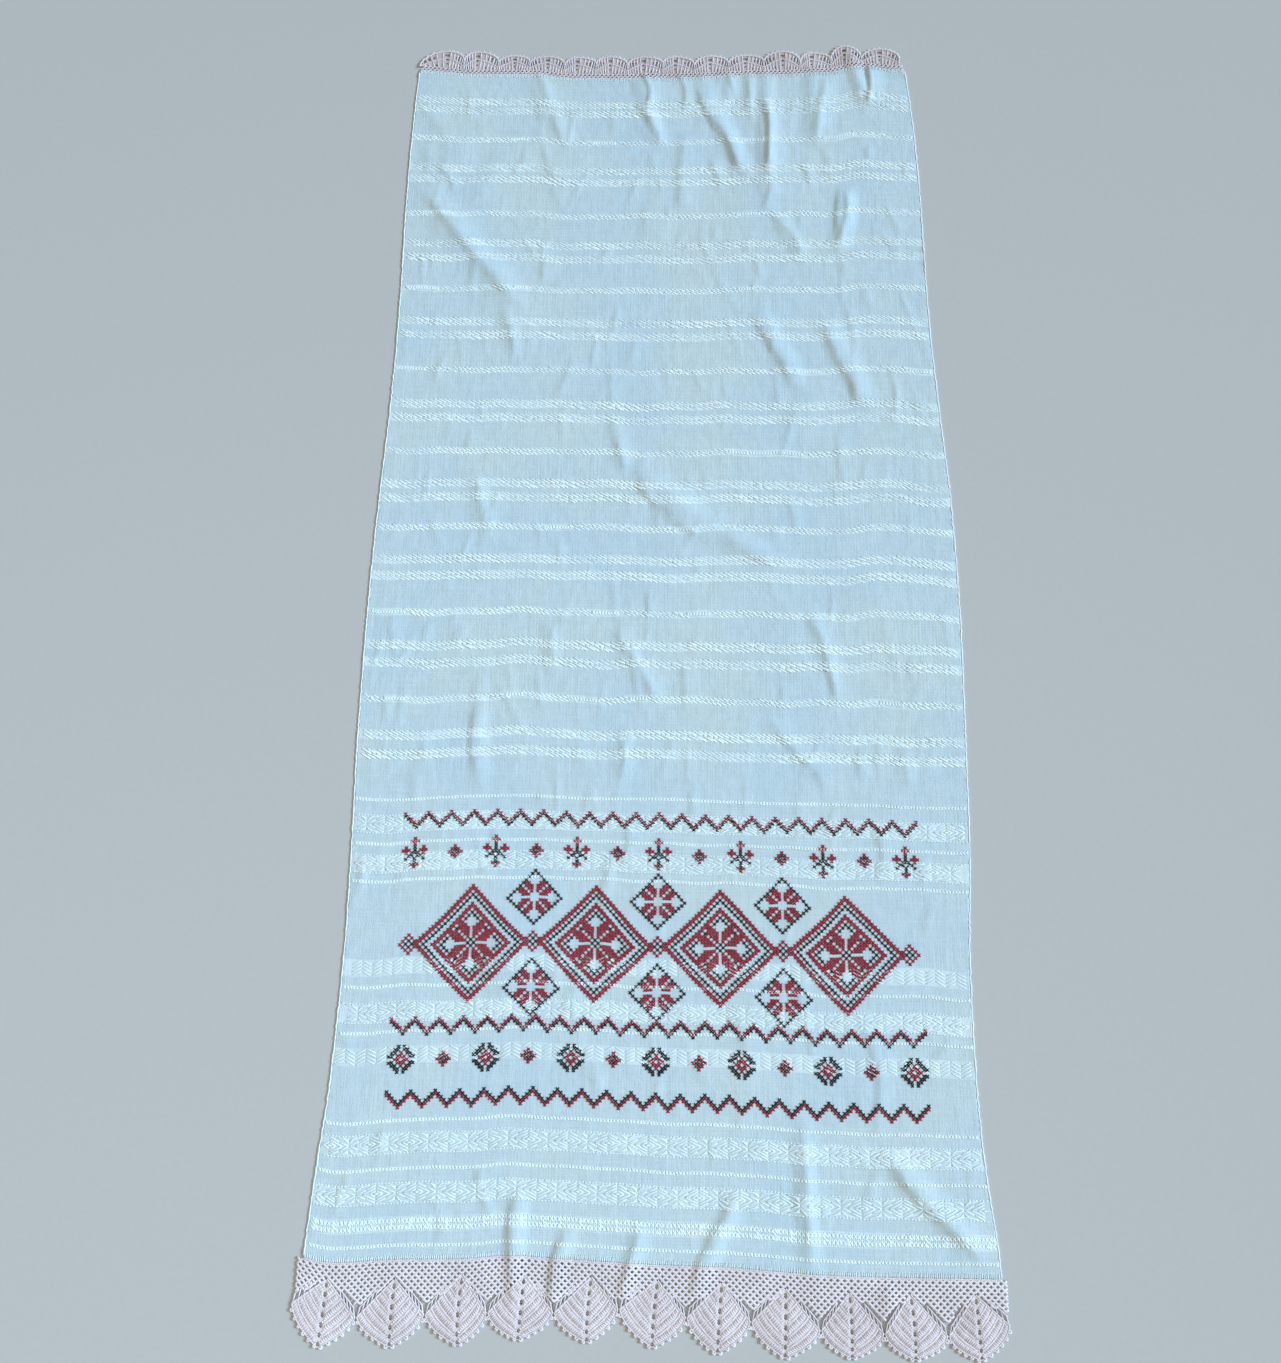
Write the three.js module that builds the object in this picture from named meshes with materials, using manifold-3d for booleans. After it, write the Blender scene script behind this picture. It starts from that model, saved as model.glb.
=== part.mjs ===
// A woven ritual towel spread out on a flat surface: the cloth, a deep leaf-pointed crochet edging sewn
// to its lower end and a narrow shell edging sewn to its upper end.
// Millimetres, +Z up, +Y up the length of the towel. The tables measure from the middle of the lower seam.

import * as THREE from "three";
import { mergeVertices } from "three/addons/utils/BufferGeometryUtils.js";
import Module from "manifold-3d";

const wasm = await Module();
wasm.setup();

// Cloth
const CLOTH_THICK = 1.0;
const CLOTH_LENGTH = 928;
const CLOTH_COLUMNS = 24;
const CLOTH_ROWS = 44;
const HEM_DEPTH = 5;
const HEM_EXTRA = 0.5;
const HEM_SLOPE = 1.5;
const SEAM_GAP = 0.3;

// Lower edging: an openwork net that carries a row of ribbed leaves
const NET_THICK = 1.2;
const LEAF_RISE = 1.7;
const LEAF_ROOT = 0.5;
const LEAF_RIBS = 5;
const RIB_RISE = 0.6;
const LEAF_INSET = 1.2;
const LEAF_SHOULDER = 5;
const HALF_LEAF_COLUMNS = 8;
const LACE_ROWS = 3;
const PICOT = 1.1;
const LEAF_ROUNDING = 1.4;
const SLITS_A_SIDE = 2;
const SLIT = { length: 3.8, width: 2.2, first: 15, step: 6.5, offset: 4.9, lean: 22, leanStep: 16 };

// Upper edging: a dense strip with a row of shells fanned on it
const SHELL_THICK = 1.2;
const HALF_SHELL_COLUMNS = 3;
const SHELL_ROWS = 4;
const SHELL_ROUNDING = 1.9;
const FAN_RISE = 0.5;
const FAN_PULL = 0.7;

// The two selvedges, from the lower end to the upper one
const SELVEDGES = [
  { y: -5, left: -224.5, right: 225.0 },
  { y: 20, left: -223.0, right: 223.5 },
  { y: 60, left: -220.5, right: 219.0 },
  { y: 110, left: -216.5, right: 216.0 },
  { y: 200, left: -214.0, right: 216.0 },
  { y: 270, left: -215.0, right: 220.0 },
  { y: 340, left: -217.0, right: 221.5 },
  { y: 450, left: -217.5, right: 223.0 },
  { y: 540, left: -215.5, right: 221.0 },
  { y: 610, left: -213.0, right: 216.5 },
  { y: 700, left: -212.0, right: 212.0 },
  { y: 800, left: -213.5, right: 210.5 },
  { y: 870, left: -213.0, right: 208.0 },
  { y: 935, left: -211.0, right: 203.0 },
];

// The seams, from left to right
const LOWER_SEAM = [
  { x: -232, y: 2.0 },
  { x: -207, y: -2.5 },
  { x: -168, y: 0.0 },
  { x: -118, y: 1.7 },
  { x: -92, y: 4.2 },
  { x: -66, y: 3.3 },
  { x: -2, y: 0.8 },
  { x: 50, y: 0.0 },
  { x: 117, y: -3.3 },
  { x: 232, y: -3.0 },
];
const UPPER_SEAM = [
  { x: -216, y: 934.0 },
  { x: -187, y: 930.6 },
  { x: -169, y: 928.8 },
  { x: -112, y: 927.5 },
  { x: -80, y: 923.8 },
  { x: 19, y: 923.1 },
  { x: 50, y: 925.0 },
  { x: 140, y: 928.0 },
  { x: 160, y: 932.7 },
  { x: 210, y: 929.0 },
];

// The folds: soft ridges along a bent line, each with its half width and its height
const FOLDS = [
  { from: [86, 944], via: [85, 880], to: [84, 798], half: 11, rise: 4.0 },
  { from: [26, 940], via: [50, 868], to: [76, 812], half: 12, rise: 4.2 },
  { from: [-25, 936], via: [-16, 895], to: [-1, 852], half: 11, rise: 3.2 },
  { from: [124, 944], via: [129, 896], to: [121, 852], half: 11, rise: 3.2 },
  { from: [152, 962], via: [163, 928], to: [172, 882], half: 10, rise: 5.0 },
  { from: [72, 938], via: [73, 905], to: [70, 874], half: 8, rise: 2.4 },
  { from: [55, 934], via: [54, 905], to: [51, 884], half: 8, rise: 2.0 },
  { from: [146, 818], via: [156, 780], to: [137, 746], half: 13, rise: 4.2 },
  { from: [92, 790], via: [103, 765], to: [119, 738], half: 10, rise: 2.6 },
  { from: [-210, 826], via: [-160, 756], to: [-106, 694], half: 18, rise: 3.2 },
  { from: [-128, 704], via: [-121, 682], to: [-115, 652], half: 9, rise: 2.0 },
  { from: [-114, 936], via: [-98, 893], to: [-78, 852], half: 13, rise: 2.8 },
  { from: [70, 712], via: [95, 662], to: [114, 620], half: 12, rise: 3.2 },
  { from: [122, 702], via: [150, 645], to: [169, 600], half: 13, rise: 3.2 },
  { from: [-37, 612], via: [-33, 585], to: [-28, 552], half: 9, rise: 2.0 },
  { from: [-28, 574], via: [22, 512], to: [110, 474], half: 15, rise: 4.4 },
  { from: [-144, 562], via: [-136, 528], to: [-127, 494], half: 11, rise: 2.4 },
  { from: [112, 452], via: [120, 420], to: [127, 390], half: 10, rise: 2.2 },
  { from: [-30, 420], via: [-13, 394], to: [5, 366], half: 10, rise: 2.2 },
  { from: [-82, 440], via: [-79, 415], to: [-76, 390], half: 9, rise: 2.0 },
  { from: [-130, 408], via: [-129, 355], to: [-126, 298], half: 10, rise: 2.2 },
  { from: [-21, 360], via: [-24, 337], to: [-27, 312], half: 9, rise: 1.8 },
  { from: [99, 104], via: [101, 45], to: [105, -18], half: 10, rise: 3.6 },
  { from: [144, 80], via: [180, 40], to: [222, 0], half: 13, rise: 4.6 },
  { from: [-83, 50], via: [-90, 22], to: [-86, -36], half: 10, rise: 3.2 },
  { from: [-50, 24], via: [-60, 2], to: [-62, -34], half: 9, rise: 3.0 },
  { from: [-2, 30], via: [-12, 2], to: [-20, -30], half: 9, rise: 3.0 },
  { from: [62, 54], via: [42, 14], to: [25, -32], half: 9, rise: 3.0 },
  { from: [154, -4], via: [150, -22], to: [155, -48], half: 9, rise: 2.4 },
];
const FOLD_STEPS = 8;
const FOLD_TAPER = 0.3;

// The leaves, from left to right: the upper and the lower end of each spine, then the notch after it
const LEAF_START = { x: -229.5, dip: -32 };
const LEAVES = [
  { crownX: -207.5, crown: -12.5, tipX: -210.5, tip: -54.0, next: -187, dip: -39.5 },
  { crownX: -163.5, crown: -11.5, tipX: -164.5, tip: -52.5, next: -143, dip: -37.0 },
  { crownX: -120.0, crown: -7.5, tipX: -121.0, tip: -50.5, next: -103, dip: -35.0 },
  { crownX: -80.0, crown: -6.5, tipX: -83.0, tip: -46.5, next: -60.5, dip: -34.0 },
  { crownX: -37.0, crown: -7.5, tipX: -39.0, tip: -47.0, next: -19, dip: -31.0 },
  { crownX: 5.5, crown: -8.5, tipX: 2.5, tip: -49.0, next: 24, dip: -35.0 },
  { crownX: 46.5, crown: -9.0, tipX: 43.5, tip: -51.5, next: 65, dip: -36.5 },
  { crownX: 87.0, crown: -11.5, tipX: 86.0, tip: -53.0, next: 109, dip: -40.5 },
  { crownX: 127.5, crown: -13.0, tipX: 128.0, tip: -52.0, next: 149, dip: -41.5 },
  { crownX: 166.0, crown: -13.0, tipX: 167.5, tip: -52.0, next: 189, dip: -42.0 },
  { crownX: 207.0, crown: -12.5, tipX: 209.0, tip: -51.5, next: 228, dip: -35.0 },
];

// The shells, from left to right: the crown of each and the notch after it
const SHELL_START = { x: -211, dip: 937.5 };
const SHELLS = [
  { x: -187.5, top: 954.0, next: -173, dip: 944.5 },
  { x: -162, top: 953.0, next: -143, dip: 942.0 },
  { x: -129.5, top: 948.5, next: -116, dip: 941.5 },
  { x: -101, top: 947.5, next: -86, dip: 938.5 },
  { x: -76, top: 946.5, next: -59, dip: 940.0 },
  { x: -47.5, top: 947.0, next: -32, dip: 938.0 },
  { x: -19, top: 946.5, next: -2, dip: 940.0 },
  { x: 8, top: 946.5, next: 25, dip: 937.5 },
  { x: 38, top: 947.0, next: 54, dip: 939.5 },
  { x: 68, top: 947.5, next: 84, dip: 941.0 },
  { x: 100, top: 951.5, next: 115, dip: 940.0 },
  { x: 124, top: 949.5, next: 141, dip: 942.5 },
  { x: 152, top: 956.0, next: 167, dip: 943.0 },
  { x: 182, top: 953.0, next: 199, dip: 942.5 },
];

const LINEN = new THREE.MeshStandardMaterial({ color: 0xcbd9df, roughness: 0.9, metalness: 0 });
const COTTON = new THREE.MeshStandardMaterial({ color: 0xe0d8da, roughness: 0.85, metalness: 0 });

const { lerp } = THREE.MathUtils;

// The value of a table's column at a place between its rows, on a smooth curve through them.
function between(rows, key, column, at) {
  let k = 0;
  while (k < rows.length - 2 && rows[k + 1][key] < at) k++;
  const [a, b] = [rows[k], rows[k + 1]];
  const before = rows[Math.max(k - 1, 0)];
  const after = rows[Math.min(k + 2, rows.length - 1)];
  const span = b[key] - a[key];
  const t = (at - a[key]) / span;
  const slopeIn = ((b[column] - before[column]) / (b[key] - before[key])) * span;
  const slopeOut = ((after[column] - a[column]) / (after[key] - a[key])) * span;
  const rise = b[column] - a[column];
  return (
    a[column] +
    t * (slopeIn + t * (3 * rise - 2 * slopeIn - slopeOut + t * (slopeIn + slopeOut - 2 * rise)))
  );
}

// Each fold's line as short straight steps.
function foldLine({ from, via, to }) {
  const bend = new THREE.QuadraticBezierCurve(
    new THREE.Vector2(...from),
    new THREE.Vector2(...via),
    new THREE.Vector2(...to),
  );
  return bend.getPoints(FOLD_STEPS);
}

const FOLD_LINES = FOLDS.map((fold) => ({ ...fold, line: foldLine(fold) }));

// How far one fold lifts the cloth at a point: highest on its line, nothing past its half width or its ends.
function foldLift({ line, half, rise }, point) {
  let nearest = Infinity;
  let share = 0;
  for (let k = 0; k < FOLD_STEPS; k++) {
    const along = line[k + 1].clone().sub(line[k]);
    const t = THREE.MathUtils.clamp(point.clone().sub(line[k]).dot(along) / along.lengthSq(), 0, 1);
    const gap = point.distanceTo(line[k].clone().addScaledVector(along, t));
    if (gap < nearest) {
      nearest = gap;
      share = (k + t) / FOLD_STEPS;
    }
  }
  if (nearest >= half) return 0;
  const ends = THREE.MathUtils.smoothstep(Math.min(share, 1 - share), 0, FOLD_TAPER);
  return rise * ends * (0.5 + 0.5 * Math.cos((Math.PI * nearest) / half));
}

// The height of the sheet's underside over the surface it lies on.
function lift(x, y) {
  const point = new THREE.Vector2(x, y);
  return FOLD_LINES.reduce((sum, fold) => sum + foldLift(fold, point), 0);
}

// A closed sheet over a grid of places, each with x, y and the heights of its two faces.
// Each cell is parted along the diagonal whose ends differ least in height, so that ridges stay whole.
function sheet(columns, rows, place) {
  const places = [];
  for (let j = 0; j <= rows; j++) {
    for (let i = 0; i <= columns; i++) places.push(place(i, j));
  }
  const count = places.length;
  const id = (i, j) => j * (columns + 1) + i;
  const index = [];
  const face = (a, b, c) => {
    index.push(count + a, count + b, count + c);
    index.push(c, b, a);
  };
  for (let j = 0; j < rows; j++) {
    for (let i = 0; i < columns; i++) {
      const [a, b, c, d] = [id(i, j), id(i + 1, j), id(i + 1, j + 1), id(i, j + 1)];
      const height = (k) => places[k].over;
      if (Math.abs(height(a) - height(c)) <= Math.abs(height(b) - height(d))) {
        face(a, b, c);
        face(a, c, d);
      } else {
        face(a, b, d);
        face(b, c, d);
      }
    }
  }
  const rim = [];
  for (let i = 0; i < columns; i++) rim.push(id(i, 0));
  for (let j = 0; j < rows; j++) rim.push(id(columns, j));
  for (let i = columns; i > 0; i--) rim.push(id(i, rows));
  for (let j = rows; j > 0; j--) rim.push(id(0, j));
  rim.forEach((a, k) => {
    const b = rim[(k + 1) % rim.length];
    index.push(a, b, count + b);
    index.push(a, count + b, count + a);
  });
  const under = places.flatMap((p) => [p.x, p.y, p.under]);
  const over = places.flatMap((p) => [p.x, p.y, p.over]);
  const geometry = new THREE.BufferGeometry();
  geometry.setAttribute("position", new THREE.Float32BufferAttribute([...under, ...over], 3));
  geometry.setIndex(index);
  return geometry;
}

function solid(geometry) {
  const bare = geometry.clone();
  bare.deleteAttribute("normal");
  bare.deleteAttribute("uv");
  const merged = mergeVertices(bare);
  return new wasm.Manifold(
    new wasm.Mesh({
      numProp: 3,
      vertProperties: new Float32Array(merged.attributes.position.array),
      triVerts: new Uint32Array(merged.index.array),
    }),
  );
}

function geometryOf(body) {
  const made = body.getMesh();
  const geometry = new THREE.BufferGeometry();
  geometry.setAttribute("position", new THREE.Float32BufferAttribute(made.vertProperties, 3));
  geometry.setIndex(new THREE.Uint32BufferAttribute(made.triVerts, 1));
  geometry.computeVertexNormals();
  return geometry;
}

// The rows of the cloth: a hem at each end and even steps between the hems, as shares of the length.
function clothShares() {
  const hem = HEM_DEPTH / CLOTH_LENGTH;
  const slope = (HEM_DEPTH + HEM_SLOPE) / CLOTH_LENGTH;
  const shares = [0, hem];
  for (let j = 0; j <= CLOTH_ROWS; j++) shares.push(lerp(slope, 1 - slope, j / CLOTH_ROWS));
  shares.push(1 - hem, 1);
  return shares;
}

function clothPlace(across, share) {
  const level = share * CLOTH_LENGTH;
  const left = between(SELVEDGES, "y", "left", level);
  const right = between(SELVEDGES, "y", "right", level);
  const x = lerp(left, right, across);
  const low = between(LOWER_SEAM, "x", "y", x);
  const high = between(UPPER_SEAM, "x", "y", x);
  return { x, y: lerp(low, high, share) };
}

function clothGeometry() {
  const shares = clothShares();
  const last = shares.length - 1;
  return sheet(CLOTH_COLUMNS, last, (i, j) => {
    const { x, y } = clothPlace(i / CLOTH_COLUMNS, shares[j]);
    const under = lift(x, y);
    const hem = j < 2 || j > last - 2 ? HEM_EXTRA : 0;
    return { x, y, under, over: under + CLOTH_THICK + hem };
  });
}

// The cloth's own edge at one end, as an edging meets it: straight from one column of the cloth to the next.
function clothEdge(share) {
  const edge = [];
  for (let i = 0; i <= CLOTH_COLUMNS; i++) edge.push(clothPlace(i / CLOTH_COLUMNS, share));
  return (across) => {
    const at = across * CLOTH_COLUMNS;
    const i = Math.min(Math.floor(at), CLOTH_COLUMNS - 1);
    return { x: lerp(edge[i].x, edge[i + 1].x, at - i), y: lerp(edge[i].y, edge[i + 1].y, at - i) };
  };
}

// The scalloped edge of an edging: a crown between each two notches, with its columns evenly spread.
function scallops(start, crowns, halfColumns, rounding) {
  const edge = [{ x: start.x, y: start.dip, crown: crowns[0].x, part: -1 }];
  let notch = { x: start.x, y: start.dip };
  for (const crown of crowns) {
    for (const side of [-1, 1]) {
      const foot = side < 0 ? notch : { x: crown.next, y: crown.dip };
      for (let k = 1; k <= halfColumns; k++) {
        const part = side < 0 ? k / halfColumns - 1 : k / halfColumns;
        const x = lerp(crown.x, foot.x, Math.abs(part));
        const y = lerp(crown.y, foot.y, Math.abs(part) ** rounding);
        edge.push({ x, y, crown: crown.x, part });
      }
    }
    notch = { x: crown.next, y: crown.dip };
  }
  return edge;
}

// The net of the lower edging, with a small picot on every second column of its lower edge.
function netGeometry() {
  const crowns = LEAVES.map((leaf) => ({ x: leaf.tipX, y: leaf.tip, next: leaf.next, dip: leaf.dip }));
  const edge = scallops(LEAF_START, crowns, HALF_LEAF_COLUMNS, LEAF_ROUNDING);
  const seam = clothEdge(0);
  const [first, last] = [edge[0].x, edge[edge.length - 1].x];
  return sheet(edge.length - 1, LACE_ROWS, (i, j) => {
    const top = seam((edge[i].x - first) / (last - first));
    const picot = i % 2 ? PICOT : 0;
    const share = 1 - j / LACE_ROWS;
    const x = lerp(top.x, edge[i].x, share);
    const y = lerp(top.y - SEAM_GAP, edge[i].y - picot, share);
    const under = lift(x, y);
    return { x, y, under, over: under + NET_THICK };
  });
}

// One leaf: a four-cornered pad whose ribs run beside its two lower edges and meet on its spine.
function leafGeometry(crown, right, tip, left) {
  const steps = 2 * LEAF_RIBS;
  return sheet(steps, steps, (i, j) => {
    const [a, b] = [i / steps, j / steps];
    const x = lerp(lerp(crown.x, left.x, a), lerp(right.x, tip.x, a), b);
    const y = lerp(lerp(crown.y, left.y, a), lerp(right.y, tip.y, a), b);
    const under = lift(x, y);
    const rib = Math.max(i, j) % 2 ? RIB_RISE : 0;
    return { x, y, under: under + LEAF_ROOT, over: under + LEAF_RISE + rib };
  });
}

// A long hole through the net, from a point, leaning from the length of the towel by an angle.
function slitGeometry(x, y, degrees) {
  const { length, width } = SLIT;
  const outline = new THREE.Shape([
    new THREE.Vector2(0, -length / 2),
    new THREE.Vector2(width / 2, 0),
    new THREE.Vector2(0, length / 2),
    new THREE.Vector2(-width / 2, 0),
  ]);
  const depth = 4 * LEAF_RISE;
  const cutter = new THREE.ExtrudeGeometry(outline, { depth, bevelEnabled: false, steps: 1 });
  return cutter
    .rotateZ(THREE.MathUtils.degToRad(degrees))
    .translate(x, y, lift(x, y) - depth / 2);
}

// The fan of holes on each side of a notch, beside the upper edges of the leaves that meet there.
function slitsAt(notch, before, after) {
  const cutters = [];
  for (const leaf of [before, after]) {
    const side = Math.sign(leaf.crownX - notch.x);
    const edge = new THREE.Vector2(leaf.crownX - notch.x, leaf.crown - notch.y).normalize();
    for (let k = 0; k < SLITS_A_SIDE; k++) {
      const reach = SLIT.first + k * SLIT.step;
      const x = notch.x + edge.x * reach - side * edge.y * SLIT.offset;
      const y = notch.y + edge.y * reach + side * edge.x * SLIT.offset;
      cutters.push(slitGeometry(x, y, side * (SLIT.lean + k * SLIT.leanStep)));
    }
  }
  return cutters;
}

function lowerLaceGeometry() {
  let body = solid(netGeometry());
  let notch = { x: LEAF_START.x, y: LEAF_START.dip };
  LEAVES.forEach((leaf, k) => {
    const next = { x: leaf.next, y: leaf.dip };
    const crown = { x: leaf.crownX, y: leaf.crown };
    const left = { x: notch.x + LEAF_INSET, y: notch.y + LEAF_SHOULDER };
    const right = { x: next.x - LEAF_INSET, y: next.y + LEAF_SHOULDER };
    const tip = { x: leaf.tipX, y: leaf.tip + LEAF_INSET };
    body = body.add(solid(leafGeometry(crown, right, tip, left)));
    const after = LEAVES[k + 1];
    if (after) {
      for (const cutter of slitsAt(next, leaf, after)) body = body.subtract(solid(cutter));
    }
    notch = next;
  });
  return geometryOf(body);
}

// The upper edging. Above its strip the columns draw in towards each shell's foot and every second one is raised.
function upperLaceGeometry() {
  const crowns = SHELLS.map((shell) => ({ x: shell.x, y: shell.top, next: shell.next, dip: shell.dip }));
  const edge = scallops(SHELL_START, crowns, HALF_SHELL_COLUMNS, SHELL_ROUNDING);
  const seam = clothEdge(1);
  const [first, last] = [edge[0].x, edge[edge.length - 1].x];
  return sheet(edge.length - 1, SHELL_ROWS, (i, j) => {
    const foot = seam((edge[i].x - first) / (last - first));
    const share = j / SHELL_ROWS;
    const pull = 1 + FAN_PULL * Math.sin(Math.PI * share);
    const { part, crown } = edge[i];
    const half = part ? (edge[i].x - crown) / part : 0;
    const fanned = crown + half * Math.sign(part) * Math.abs(part) ** pull;
    const x = lerp(foot.x, fanned, Math.min(2 * share, 1));
    const y = lerp(foot.y + SEAM_GAP, edge[i].y, share);
    const under = lift(x, y);
    const post = i % 2 && j > 1 ? FAN_RISE : 0;
    return { x, y, under, over: under + SHELL_THICK + post };
  });
}

function part(name, geometry, material) {
  const mesh = new THREE.Mesh(geometry, material);
  mesh.name = name;
  return mesh;
}

const towel = new THREE.Group();
towel.add(part("linen_cloth", clothGeometry(), LINEN));
towel.add(part("lower_lace", lowerLaceGeometry(), COTTON));
towel.add(part("upper_lace", upperLaceGeometry(), COTTON));

// The towel's middle goes over the origin.
const middle = new THREE.Box3().setFromObject(towel).getCenter(new THREE.Vector3());
towel.position.set(-middle.x, -middle.y, 0);

export default towel;
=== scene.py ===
# A woven ritual towel laid flat: linen with raised pattern bands and cross-stitch, and two crochet edgings.
# Lengths are in millimetres, measured from the middle of the lower seam, until a mesh is made.

import math

import bpy
import numpy as np
from mathutils import Matrix, Vector


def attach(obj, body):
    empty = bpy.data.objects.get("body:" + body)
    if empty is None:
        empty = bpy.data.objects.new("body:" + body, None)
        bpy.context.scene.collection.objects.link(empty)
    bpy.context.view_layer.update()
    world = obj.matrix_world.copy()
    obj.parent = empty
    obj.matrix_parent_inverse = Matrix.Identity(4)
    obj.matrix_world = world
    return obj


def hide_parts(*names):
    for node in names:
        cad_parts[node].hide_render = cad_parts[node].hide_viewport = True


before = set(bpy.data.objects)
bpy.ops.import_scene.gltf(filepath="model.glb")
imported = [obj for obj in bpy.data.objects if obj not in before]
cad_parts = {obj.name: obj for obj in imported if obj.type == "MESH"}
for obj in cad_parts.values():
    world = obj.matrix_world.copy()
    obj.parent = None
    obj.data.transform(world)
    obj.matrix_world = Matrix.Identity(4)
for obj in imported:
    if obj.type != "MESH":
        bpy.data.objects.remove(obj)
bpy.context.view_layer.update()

MM = 0.001
MIDDLE = (-0.75, 450.84447, 0.0)
UP = np.array([0.0, 0.0, 1.0])

# Camera: the photograph's frame and pose
PHOTO_SIZE = (1281, 1363)
PHOTO_FOCAL = 1200
SENSOR = 36
CAMERA_PLACE = (14.927, 150.297, 844.154)
CAMERA_DOWN = 1.29281
CAMERA_TURN = -0.11199
CAMERA_ROLL = -0.09898

# Cloth
CLOTH_LENGTH = 928
CLOTH_THICK = 0.55
CLOTH_COLUMNS = 256
ROW_STEP = 4.4
UNDER_STEP = 4
HEM_DEPTH = 5
HEM_SLOPE = 1.5
HEM_EXTRA = 0.35
BAND_SWELL = 0.12
BAND_EDGE = 0.35
BOW = -3.0
BOW_REACH = 210
SOFT_FOLDS = 0.35
WAVES = 8
WAVE_SIZE = (0.14, 0.36)
WAVE_LENGTH = (34, 120)

# Level, left and right selvedge
SELVEDGES = np.array([
    (-5, -224.5, 225.0), (20, -223.0, 223.5), (60, -220.5, 219.0), (110, -216.5, 216.0),
    (200, -214.0, 216.0), (270, -215.0, 220.0), (340, -217.0, 221.5), (450, -217.5, 223.0),
    (540, -215.5, 221.0), (610, -213.0, 216.5), (700, -212.0, 212.0), (800, -213.5, 210.5),
    (870, -213.0, 208.0), (935, -211.0, 203.0),
])

# The two seams: x and y
LOWER_SEAM = np.array([
    (-232, 2.0), (-207, -2.5), (-168, 0.0), (-118, 1.7), (-92, 4.2), (-66, 3.3), (-2, 0.8), (50, 0.0),
    (117, -3.3), (232, -3.0),
])
UPPER_SEAM = np.array([
    (-216, 934.0), (-187, 930.6), (-169, 928.8), (-112, 927.5), (-80, 923.8), (19, 923.1), (50, 925.0),
    (140, 928.0), (160, 932.7), (210, 929.0),
])

# The broad folds: where each starts, bends and ends, its half width and its height
FOLDS = [
    ((86, 944), (85, 880), (84, 798), 11, 4.0), ((26, 940), (50, 868), (76, 812), 12, 4.2),
    ((-25, 936), (-16, 895), (-1, 852), 11, 3.2), ((124, 944), (129, 896), (121, 852), 11, 3.2),
    ((152, 962), (163, 928), (172, 882), 10, 5.0), ((72, 938), (73, 905), (70, 874), 8, 2.4),
    ((55, 934), (54, 905), (51, 884), 8, 2.0), ((146, 818), (156, 780), (137, 746), 13, 4.2),
    ((92, 790), (103, 765), (119, 738), 10, 2.6), ((-210, 826), (-160, 756), (-106, 694), 18, 3.2),
    ((-128, 704), (-121, 682), (-115, 652), 9, 2.0), ((-114, 936), (-98, 893), (-78, 852), 13, 2.8),
    ((70, 712), (95, 662), (114, 620), 12, 3.2), ((122, 702), (150, 645), (169, 600), 13, 3.2),
    ((-37, 612), (-33, 585), (-28, 552), 9, 2.0), ((-28, 574), (22, 512), (110, 474), 15, 4.4),
    ((-144, 562), (-136, 528), (-127, 494), 11, 2.4), ((112, 452), (120, 420), (127, 390), 10, 2.2),
    ((-30, 420), (-13, 394), (5, 366), 10, 2.2), ((-82, 440), (-79, 415), (-76, 390), 9, 2.0),
    ((-130, 408), (-129, 355), (-126, 298), 10, 2.2), ((-21, 360), (-24, 337), (-27, 312), 9, 1.8),
    ((99, 104), (101, 45), (105, -18), 10, 3.6), ((144, 80), (180, 40), (222, 0), 13, 4.6),
    ((-83, 50), (-90, 22), (-86, -36), 10, 3.2), ((-50, 24), (-60, 2), (-62, -34), 9, 3.0),
    ((-2, 30), (-12, 2), (-20, -30), 9, 3.0), ((62, 54), (42, 14), (25, -32), 9, 3.0),
    ((154, -4), (150, -22), (155, -48), 9, 2.4),
]
FOLD_STEPS = 8
FOLD_TAPER = 0.3

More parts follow.
